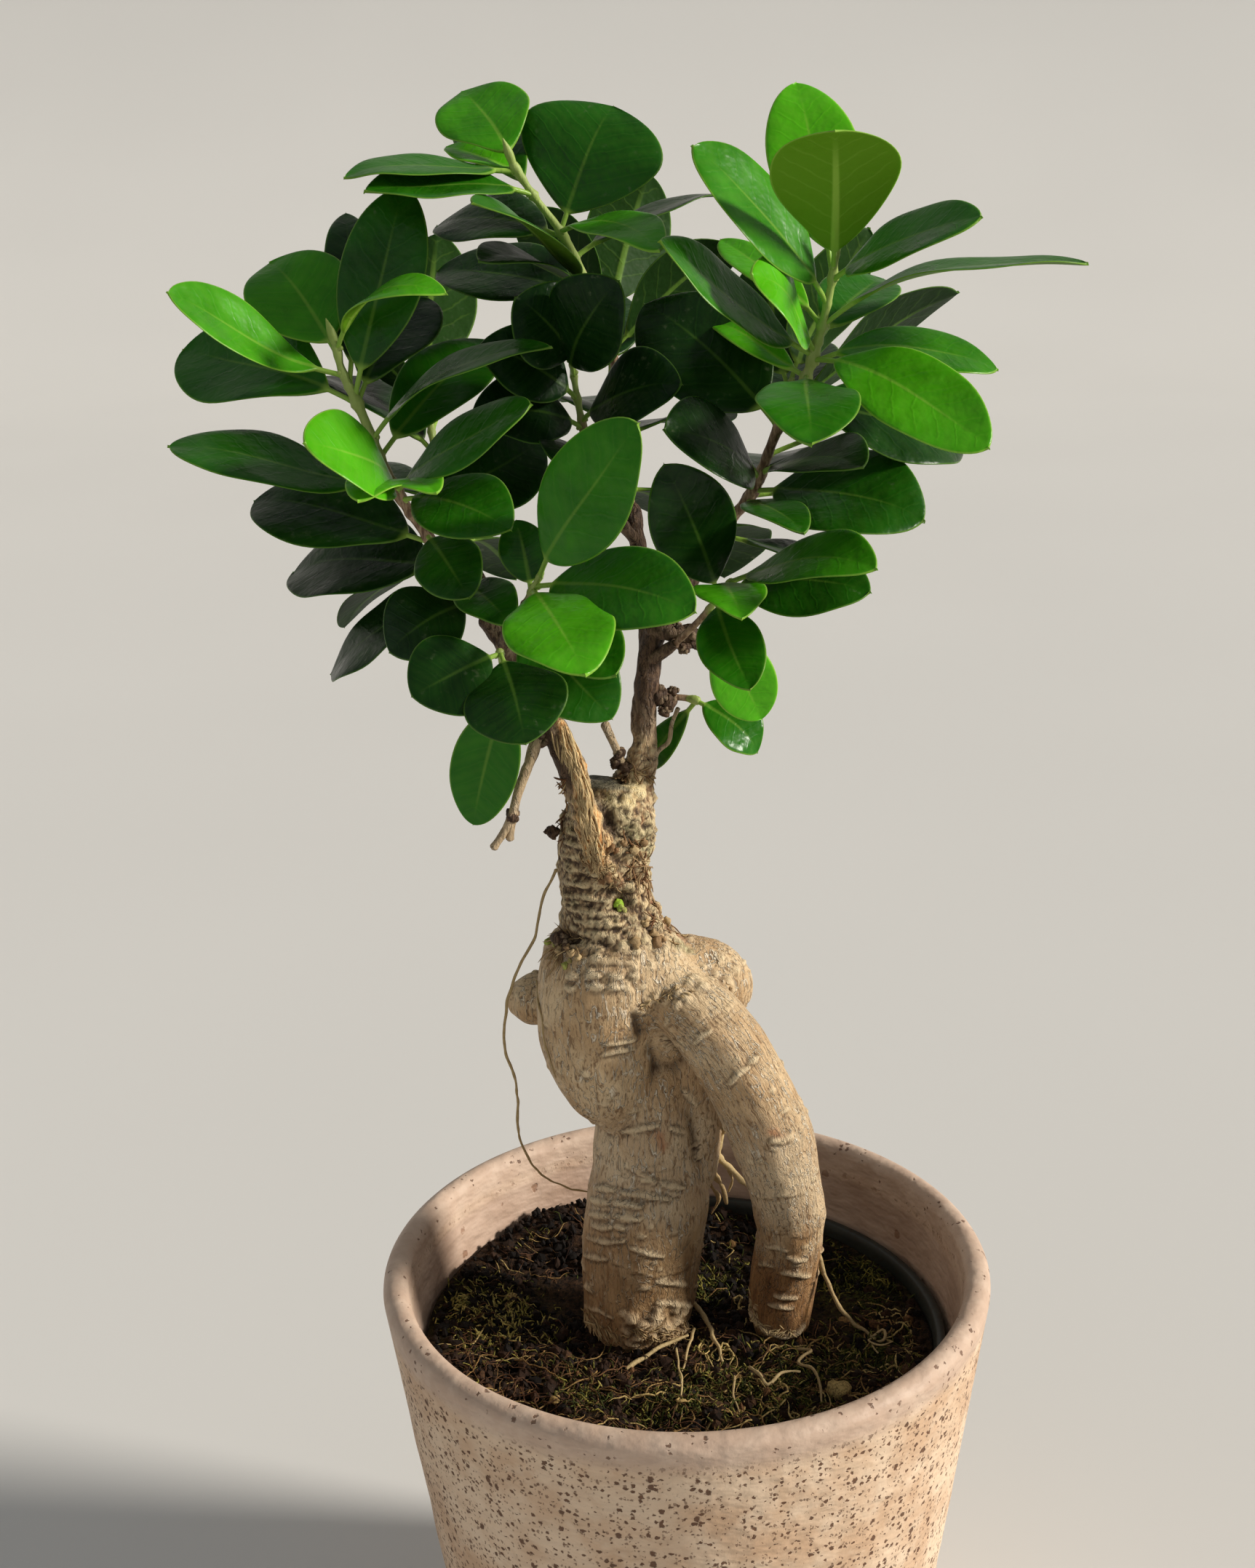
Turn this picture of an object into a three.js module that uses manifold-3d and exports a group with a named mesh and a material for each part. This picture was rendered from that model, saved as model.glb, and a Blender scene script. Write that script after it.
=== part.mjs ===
// A ficus ginseng bonsai: a swollen root trunk with leafy shoots, in a nursery pot of soil that stands
// inside a speckled stoneware pot. Millimetres, +Z up, the origin at the centre of the pot's flat
// underside, and the side that faces the viewer at -Y.
import * as THREE from 'three';
import { mergeVertices } from 'three/addons/utils/BufferGeometryUtils.js';
import Module from 'manifold-3d';

const wasm = await Module();
wasm.setup();

// Driving dimensions
const POT_HEIGHT = 125;
const POT_RADIUS = 71;
const POT_TAPER = 0.1356;
const POT_FLOOR = 6;
const LIP_RADIUS = 3;
const LIP_STEPS = 6;
const FOOT_BEVEL = 1.5;
const COVE = 2;
const LINER_HEIGHT = 106;
const LINER_RADIUS = 60;
const LINER_WALL = 0.9;
const LINER_FLANGE = 1.2;
const FLANGE_HEIGHT = 2;
const SOIL_LEVEL = 102.5;
const LEG_SIDES = 13;
const GAP = 0.3;

// Leaf: [part of the length, part of the width, thickness] from the petiole's root to the tip
const LEAF_STATIONS = [[0, 0, 1.3], [0.13, 0, 1.2], [0.34, 0.8, 0.8], [0.6, 1, 0.75], [0.86, 0.7, 0.75],
  [1, 0.16, 0.7]];
const PETIOLE_WIDTH = 1.3;
const LEAF_FOLD = 0.16;

// Trunk members: [x, y, z, radius] along the middle of each
const BODY = [[-15, 2, 226, 9.5], [-16, 1, 215, 10.6], [-15, 1, 208, 12.8], [-16, 0, 200, 14.8],
  [-17.5, 0, 192, 14.8], [-18.5, 0, 184, 13.8], [-17.5, -1, 176, 12.2], [-16, -2, 169, 9.6],
  [-14.5, -2, 163, 5.5]];
const SHOULDER = [[-12, 0, 204, 10], [-6, 0, 196, 11.5], [-4, 2, 187, 11], [-6, 4, 178, 9]];
const MAIN_LEG = [[-8, 6, 180, 8.5], [-8, 6, 170, 9.8], [-8, 6, 162, 11], [-8.5, 5, 154, 12.4],
  [-8, 4, 145, 13.7], [-9, 4, 134, 14.4], [-10.4, 5, 122, 14], [-11.4, 6, 110, 13.2],
  [-12.6, 7, 99, 12], [-13, 7, 92, 10.5]];
const RIGHT_LEG = [[-5, -2, 195, 6.5], [-0.5, -5, 194, 7.8], [5, -8, 190, 8.6], [11, -10, 182, 9.2],
  [16.6, -10, 171, 9.4], [20.5, -8, 159, 9.2], [23.2, -5, 147, 8.4], [24.6, -1, 132, 7.5],
  [23.4, 3, 118, 7.9], [22.8, 5, 106, 7.2], [23, 6, 98, 5.6]];
const RIGHT_KNOB = [[-6, 2, 198, 7], [1, 3, 198, 7.2], [6.5, 4.8, 195.2, 7.8], [10, 6, 191.8, 7],
  [11.8, 6.2, 188.8, 5.2]];
const LEFT_KNOB = [[-22, 6, 188, 6], [-30, 10, 187, 5.9], [-34.6, 11.8, 186.6, 6.1],
  [-37.2, 12.8, 186.3, 4.8]];
const NECK = [[-16, 1, 213, 10.4], [-16.8, 1, 222, 10.2], [-15.2, 1, 231, 11], [-14.2, 1, 237, 9.8],
  [-13.6, 2, 242, 8.6]];
const LEFT_BRANCH = [[-13, -5, 221, 4.2], [-15.8, -8, 228, 3.9], [-20, -10, 241, 3.2],
  [-23.6, -9, 253, 3], [-30.2, -9, 268, 2.5], [-38.5, -10, 282.6, 2.1]];
const RIGHT_BRANCH = [[-9.5, 2, 234, 4.8], [-8, 2, 242, 3.9], [-7, 3, 248, 3.1], [-6.7, 4, 256, 2.8],
  [-6, 4, 264, 2.7], [-5, 5, 272, 2.5], [-2.5, 5, 279, 2.2], [3.8, 5, 288.7, 2]];
const MIDDLE_BRANCH = [[-5.5, 5, 269, 2], [-6.3, 12, 285, 1.9], [-8.8, 16.6, 300, 1.8]];
const FRONT_TWIG = [[-35.7, -10, 277, 1.6], [-33.5, -15, 281.5, 1.3], [-32.2, -17.5, 284.1, 1.2]];
const LOW_LEFT_TWIG = [[-29.6, -9, 267, 1.5], [-32.2, -13, 268.8, 1.3], [-34, -16.4, 269.6, 1.2]];
const LOW_RIGHT_TWIG = [[-5.6, 4, 269, 1.6], [-2.5, 2, 271.5, 1.4], [0.2, 0.2, 273.8, 1.2]];
const HANGING_TWIG = [[-6.4, 4, 260, 1.8], [-3.5, 4.5, 260.5, 1.6], [-1, 5, 260.6, 1.2]];
const BACK_LEFT_TWIG = [[-34, -9.5, 274.5, 1.8], [-38, -3.5, 281, 1.6], [-42, 4.6, 289.6, 1.5]];
const BACK_RIGHT_TWIG = [[-2.5, 5, 279, 1.8], [3, 10, 284, 1.6], [8.4, 13.4, 290.4, 1.5]];
const BACK_TWIG = [[-6.6, 13, 287, 1.7], [-8, 20, 292, 1.5], [-9.6, 25.6, 298, 1.4]];
const MIDDLE_TWIG = [[-7.5, 14.5, 293, 1.5], [-11, 11, 298, 1.3], [-14, 9, 303.2, 1.2]];
const DEAD_TWIGS = [
  [[-25, -9, 255, 1.2], [-28.5, -9.5, 256.8, 1.4], [-30.8, -11, 252, 1.2], [-33.5, -13, 245.5, 1.1],
    [-35, -14, 240, 1]],
  [[-34.6, -13.7, 241, 1], [-36.6, -14.5, 237.4, 0.9], [-39, -15, 234, 0.8]],
  [[-34.6, -13.8, 241, 0.9], [-35.2, -14, 238, 0.9], [-35.6, -14.2, 235.6, 0.8]],
  [[-10.5, 1, 243, 1.2], [-12.5, 1, 249, 1], [-15.2, 0.6, 256, 0.8]],
  [[-8, 3, 243, 1.2], [-4.2, 4, 247, 1], [-1.6, 4.5, 252, 0.9], [0.6, 5, 258, 0.8]],
  [[-5, 4.6, 276, 1.9], [-1, 3, 275.6, 1.8], [1.6, 2.4, 275, 1.4]],
];

// Shoots: the stem as [x, y, z, radius], then one row for each leaf: where it leaves the stem, as part of
// the stem's length, its tip's x, y and z, its width, the lean of its upper face from the zenith towards
// the viewer in degrees, and the height of its arch.
const LEFT_SHOOT = {
  stem: [[-38.8, -10.1, 283, 1.9], [-44.7, -11, 292, 1.8], [-50, -12, 301, 1.6], [-56, -12, 311, 1.5],
    [-62, -10, 326, 1.3], [-65.5, -8.5, 334, 1.1], [-66.3, -8, 339, 0.9]],
  leaves: [[0.9, -94, -28, 352, 16, 38, -2.5], [0.96, -82, 10, 354.3, 21.5, 50, 2],
    [0.82, -52, 0, 369, 18, 45, 2], [0.98, -42, -25, 350, 12, 20, 6], [0.8, -102.5, 14, 336.5, 25, 45, 3],
    [0.52, -100, -16, 321, 22, 17, 0], [0.53, -69, -36, 324, 20.5, 52, 3],
    [0.68, -23, -17, 339, 16, 12, 5], [0.5, -27, -25, 329, 18, 30, 2], [0.52, -60, -34, 313, 12, 20, 2],
    [0.5, -45.2, -32, 313.5, 10, 20, 2], [0.47, -31, -32, 305.5, 18, 40, 3], [0.3, -88, 4, 306, 25, 30, 2],
    [0.2, -83, 16, 287.5, 25, 40, 3], [0.12, -75, 6, 267, 20, 30, 2], [0.06, -58, -20, 278.5, 19, 45, 3],
    [0.33, -40, -31, 292, 14, 60, 2], [0.14, -32, -33, 287, 12, 40, 2], [0.42, -27, 10, 316, 20, 60, 2],
    [0.62, -37, 22, 336, 18, 40, 2], [0.86, -67, 20, 363.5, 11, 45, 2], [0.8, -50, 16, 346, 17, 45, 2],
    [0.99, -68, -8, 344, 3, 0, 0]],
  spurs: [[[-43.8, -11, 290.6, 1.6], [-43.2, -14.4, 293, 1.5], [-42.6, -17, 295.8, 1.3]]],
};
const TOP_SHOOT = {
  stem: [[-9, 17, 300.3, 1.7], [-10, 20, 318, 1.6], [-12.5, 20, 335, 1.5], [-17, 16, 348, 1.3],
    [-21.5, 12, 358, 1.2], [-27, 9, 366, 1], [-31, 8, 372.5, 0.8]],
  leaves: [[0.98, -42, 24, 387, 20, 50, 2], [0.78, -10.5, 23, 383, 30.5, 60, 2],
    [0.97, -63, -5, 371.4, 16, 14, 1], [0.9, -58.5, -9, 369, 18, 22, 1.5], [0.95, -45, 18, 376, 10, 20, 1],
    [0.62, -37, -15, 366, 19, 30, 2], [0.78, -1.5, -24, 357.3, 14, 26, 3], [0.76, -49, 28, 360, 20, 30, 2],
    [0.56, -50, 32, 350, 22, 30, 2], [0.6, -37, -6, 355, 18, 20, 2], [0.9, -42, 35, 380, 14, 40, 2],
    [0.7, 12, 30, 365, 14, 0, 2], [0.99, -32.4, 7, 377, 3, 0, 0]],
};
const RIGHT_SHOOT = {
  stem: [[4, 5, 289, 1.8], [10, 3, 298, 1.8], [16, 0, 304.5, 1.7], [22, -5, 320, 1.5],
    [27.6, -8, 331, 1.4], [31.6, -10, 346, 1.1], [33, -11, 355, 0.9]],
  leaves: [[0.93, 26.5, 12, 386.8, 18.5, 60, 2], [0.945, 30.5, -36, 378, 24.5, -56, 2],
    [0.86, 5.5, -18, 375.6, 21, 30, 2], [0.92, 58, -30, 362, 19, 32, 2], [0.8, 81, -15, 352, 18, 2, 5],
    [0.76, 45, 15, 348, 16, 30, 2], [0.72, -1, -28, 359, 18, 35, -1.5], [0.73, 16, -27, 352.4, 18.5, 45, 2],
    [0.8, 11, 15, 356, 10, 30, 2], [0.7, 65, -12, 332, 16, 25, 4], [0.71, 60, -36, 320, 18.5, 48, 3.5],
    [0.66, 26, -45, 323, 20, 40, 3], [0.6, 61.5, 5, 313, 22, 40, 3], [0.36, 36.5, -30, 316.5, 18, 30, 2],
    [0.3, 50, -20, 304, 25.5, 36, 3], [0.26, 26, -24, 302.2, 12, 10, 2], [0.34, -1, -22, 323, 22, 45, 3],
    [0.66, 9, 8, 340, 8, 30, 1], [0.5, -5, 12, 344, 26, 55, 2], [0.99, 34, -12, 361, 3, 0, 0]],
};
const FRONT_SHOOT = {
  stem: [[-32, -18, 284.5, 1.1], [-28.6, -24, 290.4, 1], [-26, -27, 295.5, 0.8]],
  leaves: [[0.96, -6.3, -45, 327.4, 21, 50, 2], [0.78, 4, -52, 293.7, 20.5, 46, 3],
    [0.7, -16.2, -64, 285.5, 21, 36, 3], [0.66, -31, -19, 305, 10, 60, 2], [0.4, -11, -50, 281, 16, 40, 2],
    [0.2, -12.4, -33, 267.3, 19, 52, 2]],
};
const LOW_LEFT_SHOOT = {
  stem: [[-34.2, -16.7, 269.8, 1.1], [-34.5, -20.3, 271.4, 1], [-34.9, -25.6, 279.6, 0.8]],
  leaves: [[0.95, -51.5, -38, 274.2, 18.5, 58, 2], [0.98, -29, -45, 266.2, 21, 56, 2],
    [0.1, -43.5, -13, 238.2, 14.5, 70, 2]],
};
const LOW_RIGHT_SHOOT = {
  stem: [[0.4, 0, 274, 1.1], [6, -6, 281, 1], [10, -10, 287, 0.9], [12, -12, 290, 0.8]],
  leaves: [[0.98, 38.4, -42, 299, 17.5, 34, 3], [0.86, 39, -25, 290.6, 20, 38, 2],
    [0.94, 13, -42, 290, 14.5, 9, 2], [0.72, 15, -30, 272, 13.5, 60, 2], [0.6, 18.5, -7, 258.5, 14, 60, 2],
    [0.76, -1, -24, 316, 18, 60, 2]],
};
const HANGING_SHOOT = {
  stem: [[-0.7, 5, 260.6, 1.1], [2, 5, 260.4, 1], [5, 4, 260, 0.9]],
  leaves: [[0.8, 18, 0, 249.5, 13, 34, 2], [0.95, -7.6, 18, 239.7, 7, 70, 1]],
};
const MIDDLE_SHOOT = {
  stem: [[-14.2, 8.9, 303.5, 1.1], [-17, 5, 314, 1.1], [-19, 4, 325, 1], [-20, 5, 333, 0.8]],
  leaves: [[0.98, -30, -4, 347, 20, 50, 3], [0.9, -10, -10, 350, 20, 55, 3],
    [0.75, -38, -4, 337.6, 17, 50, 3], [0.55, -40, -8, 324, 18, 45, 3], [0.6, 2, -8, 330, 20, 45, 3],
    [0.3, -22, -18, 316, 16, 40, 3]],
};

// Shoots at the back: their leaves reach away from the viewer.
const BACK_LEFT_SHOOT = {
  stem: [[-42.2, 4.9, 290, 1.4], [-47, 15, 301, 1.3], [-52, 26, 314, 1.1], [-53, 33, 326, 0.9]],
  leaves: [[0.08, -74, 22, 274, 22, 0, 3], [0.15, -36, 40, 280, 22, -20, 3],
    [0.35, -86, 36, 304, 24, 0, 3], [0.45, -42, 60, 300, 24, -20, 3], [0.62, -80, 48, 326, 23, -10, 3],
    [0.75, -46, 66, 330, 23, -30, 3], [0.85, -78, 34, 342, 22, -30, 2], [0.97, -52, 56, 356, 21, -50, 2]],
};
const BACK_RIGHT_SHOOT = {
  stem: [[8.6, 13.6, 290.7, 1.4], [16, 22, 300, 1.3], [23, 31, 312, 1.1], [27, 36, 324, 0.9]],
  leaves: [[0.1, 40, 14, 280, 22, 0, 3], [0.18, 12, 48, 278, 22, -20, 3], [0.35, 56, 26, 294, 24, 0, 3],
    [0.45, 26, 62, 302, 24, -20, 3], [0.6, 66, 36, 316, 23, -10, 3], [0.72, 32, 70, 328, 22, -30, 3],
    [0.84, 64, 40, 342, 22, -30, 2], [0.95, 24, 58, 352, 21, -50, 2], [0.98, 44, 44, 356, 20, -40, 2]],
};
const BACK_SHOOT = {
  stem: [[-9.7, 25.9, 298.3, 1.3], [-12, 36, 312, 1.2], [-13, 44, 326, 1], [-13, 47, 338, 0.8]],
  leaves: [[0.1, 6, 54, 286, 21, -10, 3], [0.15, -24, 62, 290, 22, -20, 3],
    [0.35, 14, 62, 312, 22, -20, 3], [0.42, -26, 74, 316, 22, -20, 3], [0.62, 12, 70, 334, 21, -30, 3],
    [0.7, -20, 80, 342, 22, -30, 3], [0.82, 16, 48, 352, 20, -40, 2], [0.9, -34, 58, 360, 20, -50, 2],
    [0.98, -4, 60, 368, 20, -60, 2]],
};

// Helpers
function weld(geometry) {
  geometry.deleteAttribute('normal');
  geometry.deleteAttribute('uv');
  const welded = mergeVertices(geometry);
  const index = Array.from(welded.index.array);
  const kept = [];
  for (let i = 0; i < index.length; i += 3) {
    const [a, b, c] = index.slice(i, i + 3);
    if (a !== b && b !== c && c !== a) kept.push(a, b, c);
  }
  welded.setIndex(kept);
  return welded;
}

function solid(geometry) {
  const welded = weld(geometry);
  return new wasm.Manifold(new wasm.Mesh({
    numProp: 3,
    vertProperties: new Float32Array(welded.attributes.position.array),
    triVerts: new Uint32Array(welded.index.array),
  }));
}

function fuse(solids) {
  return solids.reduce((sum, next) => sum.add(next));
}

function geometryOf(body) {
  const mesh = body.getMesh();
  const geometry = new THREE.BufferGeometry();
  geometry.setAttribute('position', new THREE.BufferAttribute(new Float32Array(mesh.vertProperties), 3));
  geometry.setIndex(new THREE.BufferAttribute(new Uint32Array(mesh.triVerts), 1));
  geometry.computeVertexNormals();
  return geometry;
}

function routeOf(rows) {
  const points = rows.map(([x, y, z]) => new THREE.Vector3(x, y, z));
  return new THREE.CatmullRomCurve3(points, false, 'centripetal');
}

// A round member whose radius follows its rows: a cylinder bent onto the route
function limb(rows, sides) {
  const curve = routeOf(rows);
  const steps = rows.length - 1;
  const frames = [];
  let normal = new THREE.Vector3(1, 0.2, 0);
  for (let i = 0; i <= steps; i += 1) {
    const tangent = curve.getTangent(i / steps);
    normal = normal.clone().addScaledVector(tangent, -normal.dot(tangent)).normalize();
    const side = normal.clone().cross(tangent);
    frames.push({ point: curve.getPoint(i / steps), normal, side, radius: rows[i][3] });
  }
  const geometry = new THREE.CylinderGeometry(1, 1, 1, sides, steps);
  const position = geometry.attributes.position;
  for (let i = 0; i < position.count; i += 1) {
    const frame = frames[Math.round((position.getY(i) + 0.5) * steps)];
    const point = frame.point.clone()
      .addScaledVector(frame.normal, position.getX(i) * frame.radius)
      .addScaledVector(frame.side, position.getZ(i) * frame.radius);
    position.setXYZ(i, point.x, point.y, point.z);
  }
  return geometry;
}

// An arched blade with a folded midrib on a stout petiole, its faces split alike above and below
function leaf(root, tip, width, lean, arch) {
  const along = tip.clone().sub(root);
  const length = along.length();
  along.normalize();
  const angle = THREE.MathUtils.degToRad(lean);
  const face = new THREE.Vector3(0, -Math.sin(angle), Math.cos(angle));
  face.addScaledVector(along, -face.dot(along)).normalize();
  const across = along.clone().cross(face);
  const points = [];
  for (const [part, widthPart, thickness] of LEAF_STATIONS) {
    const middle = root.clone().addScaledVector(along, part * length)
      .addScaledVector(face, 4 * arch * part * (1 - part));
    const half = Math.max(widthPart * width, PETIOLE_WIDTH) / 2;
    for (const level of [0.5, -0.5]) {
      for (const side of [-1, 0, 1]) {
        const rise = level * thickness + Math.abs(side) * half * LEAF_FOLD;
        points.push(middle.clone().addScaledVector(across, side * half).addScaledVector(face, rise));
      }
    }
  }
  const index = [];
  const row = 6;
  const top = (i, j) => i * row + j;
  const under = (i, j) => i * row + 3 + j;
  const last = LEAF_STATIONS.length - 1;
  for (let i = 0; i < last; i += 1) {
    for (const j of [0, 1]) {
      index.push(top(i, j), top(i, j + 1), top(i + 1, j), top(i, j + 1), top(i + 1, j + 1), top(i + 1, j));
      index.push(under(i, j), under(i + 1, j), under(i, j + 1));
      index.push(under(i, j + 1), under(i + 1, j), under(i + 1, j + 1));
    }
    index.push(top(i, 0), top(i + 1, 0), under(i, 0), top(i + 1, 0), under(i + 1, 0), under(i, 0));
    index.push(top(i, 2), under(i, 2), top(i + 1, 2), top(i + 1, 2), under(i, 2), under(i + 1, 2));
  }
  for (const j of [0, 1]) {
    index.push(top(0, j), under(0, j), top(0, j + 1), top(0, j + 1), under(0, j), under(0, j + 1));
    index.push(top(last, j), top(last, j + 1), under(last, j));
    index.push(top(last, j + 1), under(last, j + 1), under(last, j));
  }
  const geometry = new THREE.BufferGeometry().setFromPoints(points);
  geometry.setIndex(index);
  return geometry;
}

function shoot({ stem, leaves, spurs = [] }) {
  const curve = routeOf(stem);
  const blades = leaves.map(([at, x, y, z, width, lean, arch]) => (
    solid(leaf(curve.getPointAt(at), new THREE.Vector3(x, y, z), width, lean, arch))));
  const wood = [stem, ...spurs].map((rows) => solid(limb(rows, 6)));
  return fuse([...wood, ...blades]);
}

// A body turned about the Z axis from [radius, height] points that start and end on the axis
function turned(profile, segments) {
  const points = profile.map(([radius, height]) => new THREE.Vector2(radius, height));
  return new THREE.LatheGeometry(points, segments).rotateX(Math.PI / 2);
}

// Pot and liner
const potOuter = (height) => POT_RADIUS - POT_TAPER * (POT_HEIGHT - LIP_RADIUS - height);
const potInner = (height) => potOuter(height) - 2 * LIP_RADIUS;
const linerOuter = (height) => LINER_RADIUS - POT_TAPER * (LINER_HEIGHT - height);
const linerInner = (height) => linerOuter(height) - LINER_WALL;
const soilRadius = (height) => linerInner(height) - GAP;
const linerFoot = POT_FLOOR + GAP;
const soilFoot = linerFoot + LINER_WALL + GAP;

function potProfile() {
  const lip = [];
  for (let i = 0; i <= LIP_STEPS; i += 1) {
    const angle = (i / LIP_STEPS) * Math.PI;
    const radius = POT_RADIUS - LIP_RADIUS + LIP_RADIUS * Math.cos(angle);
    lip.push([radius, POT_HEIGHT - LIP_RADIUS + LIP_RADIUS * Math.sin(angle)]);
  }
  return [[0, 0], [potOuter(0) - FOOT_BEVEL, 0], [potOuter(FOOT_BEVEL), FOOT_BEVEL], ...lip,
    [potInner(POT_FLOOR + COVE), POT_FLOOR + COVE], [potInner(POT_FLOOR) - COVE, POT_FLOOR],
    [0, POT_FLOOR]];
}

function linerProfile() {
  const rim = linerOuter(LINER_HEIGHT) + LINER_FLANGE;
  const flangeFoot = LINER_HEIGHT - FLANGE_HEIGHT;
  const linerFloor = linerFoot + LINER_WALL;
  return [[0, linerFoot], [linerOuter(linerFoot), linerFoot], [linerOuter(flangeFoot), flangeFoot],
    [rim, flangeFoot], [rim, LINER_HEIGHT], [linerInner(LINER_HEIGHT), LINER_HEIGHT],
    [linerInner(linerFloor), linerFloor], [0, linerFloor]];
}

// Height of the soil's lumpy top above its mean level
function soilLump(x, y) {
  const heap = 2.4 * Math.exp(-((x + 34) ** 2 + (y - 26) ** 2) / 500);
  return heap + 0.9 * Math.sin(0.21 * x + 0.6) * Math.cos(0.17 * y) + 0.6 * Math.sin(0.37 * y + 0.23 * x);
}

function soilGeometry() {
  const rings = [1, 0.88, 0.74, 0.6, 0.46, 0.32, 0.18];
  const topRadius = soilRadius(SOIL_LEVEL);
  const top = rings.map((part) => [topRadius * part, SOIL_LEVEL]);
  const profile = [[0, soilFoot], [soilRadius(soilFoot), soilFoot], ...top, [0, SOIL_LEVEL]];
  const geometry = weld(turned(profile, 30));
  const position = geometry.attributes.position;
  for (let i = 0; i < position.count; i += 1) {
    const [x, y, z] = [position.getX(i), position.getY(i), position.getZ(i)];
    const onTop = z > SOIL_LEVEL - 1;
    const atEdge = Math.hypot(x, y) > topRadius - 1;
    if (onTop && !atEdge) position.setZ(i, z + soilLump(x, y));
  }
  return geometry;
}

const grown = (rows, by) => rows.map(([x, y, z, radius]) => [x, y, z, radius + by]);

function trunkSolid() {
  const twigs = [MIDDLE_BRANCH, FRONT_TWIG, LOW_LEFT_TWIG, LOW_RIGHT_TWIG, HANGING_TWIG, BACK_LEFT_TWIG,
    BACK_RIGHT_TWIG, BACK_TWIG, MIDDLE_TWIG];
  const members = [[BODY, 14], [SHOULDER, 10], [MAIN_LEG, LEG_SIDES], [RIGHT_LEG, LEG_SIDES],
    [RIGHT_KNOB, 10], [LEFT_KNOB, 8], [NECK, 12], [LEFT_BRANCH, 7], [RIGHT_BRANCH, 7],
    ...twigs.map((rows) => [rows, 6]), ...DEAD_TWIGS.map((rows) => [rows, 5])];
  return fuse(members.map(([rows, sides]) => solid(limb(rows, sides))));
}

// The soil's sockets follow the legs with a small gap all round
function soilSolid() {
  const sockets = [MAIN_LEG, RIGHT_LEG].map((rows) => solid(limb(grown(rows, GAP), LEG_SIDES)));
  return solid(soilGeometry()).subtract(fuse(sockets));
}

// Materials
const stoneware = new THREE.MeshStandardMaterial({ color: '#c9ab8c', roughness: 0.7, metalness: 0 });
const plastic = new THREE.MeshStandardMaterial({ color: '#cfd2cc', roughness: 0.5, metalness: 0 });
const earth = new THREE.MeshStandardMaterial({ color: '#33231a', roughness: 0.95, metalness: 0 });
const bark = new THREE.MeshStandardMaterial({ color: '#b79b7c', roughness: 0.8, metalness: 0 });
const foliage = new THREE.MeshStandardMaterial({ color: '#3f8a1c', roughness: 0.35, metalness: 0 });
const shade = new THREE.MeshStandardMaterial({ color: '#1d4a1a', roughness: 0.4, metalness: 0 });

// Assembly
const plant = new THREE.Group();

function place(name, body, material) {
  const mesh = new THREE.Mesh(geometryOf(body), material);
  mesh.name = name;
  plant.add(mesh);
}

place('pot', solid(turned(potProfile(), 48)), stoneware);
place('nursery_pot', solid(turned(linerProfile(), 36)), plastic);
place('soil', soilSolid(), earth);
place('trunk', trunkSolid(), bark);
place('shoot_left', shoot(LEFT_SHOOT), foliage);
place('shoot_top', shoot(TOP_SHOOT), foliage);
place('shoot_right', shoot(RIGHT_SHOOT), foliage);
place('shoot_front', shoot(FRONT_SHOOT), foliage);
place('shoot_low_left', shoot(LOW_LEFT_SHOOT), foliage);
place('shoot_low_right', shoot(LOW_RIGHT_SHOOT), foliage);
place('shoot_hanging', shoot(HANGING_SHOOT), foliage);
place('shoot_middle', shoot(MIDDLE_SHOOT), shade);
place('shoot_back_left', shoot(BACK_LEFT_SHOOT), shade);
place('shoot_back_right', shoot(BACK_RIGHT_SHOOT), shade);
place('shoot_back', shoot(BACK_SHOOT), shade);

export default plant;
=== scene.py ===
import math

import bpy
import numpy as np
from mathutils import Matrix, Vector
from mathutils.bvhtree import BVHTree


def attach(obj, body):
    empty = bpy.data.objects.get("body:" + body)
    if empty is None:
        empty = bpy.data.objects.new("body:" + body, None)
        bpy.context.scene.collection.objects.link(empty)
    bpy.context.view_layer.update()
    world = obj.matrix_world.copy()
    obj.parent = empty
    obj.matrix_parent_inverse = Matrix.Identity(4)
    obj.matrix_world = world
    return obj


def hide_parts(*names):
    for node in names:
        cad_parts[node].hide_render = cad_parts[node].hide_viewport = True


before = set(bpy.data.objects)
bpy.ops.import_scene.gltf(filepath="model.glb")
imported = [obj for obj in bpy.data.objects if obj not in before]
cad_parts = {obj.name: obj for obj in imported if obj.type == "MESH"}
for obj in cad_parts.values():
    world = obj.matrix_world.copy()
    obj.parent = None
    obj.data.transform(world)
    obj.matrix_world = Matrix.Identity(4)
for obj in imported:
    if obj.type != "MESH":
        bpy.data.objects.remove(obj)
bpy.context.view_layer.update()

scene = bpy.context.scene
MM = 0.001

# Driving sizes, as in the model
POT_HEIGHT = 125
POT_RADIUS = 71
POT_TAPER = 0.1356
POT_FLOOR = 6
LIP_RADIUS = 3
FOOT_BEVEL = 1.5
COVE = 2
LINER_HEIGHT = 106
LINER_RADIUS = 60
LINER_WALL = 0.9
LINER_FLANGE = 1.2
FLANGE_HEIGHT = 2
SOIL_LEVEL = 102.5
GAP = 0.3
PETIOLE_PART = 0.13
BUD_WIDTH = 3

# Camera: its place, the angles that it is turned by in radians, and the picture that its pixels are in
CAMERA_PLACE = (0, -420.15, 383.36)
CAMERA_YAW, CAMERA_PITCH, CAMERA_ROLL = -0.0254, 0.3232, -0.0262
PICTURE = (1725, 2156)
FOCUS_PIXELS = 2800

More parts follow.
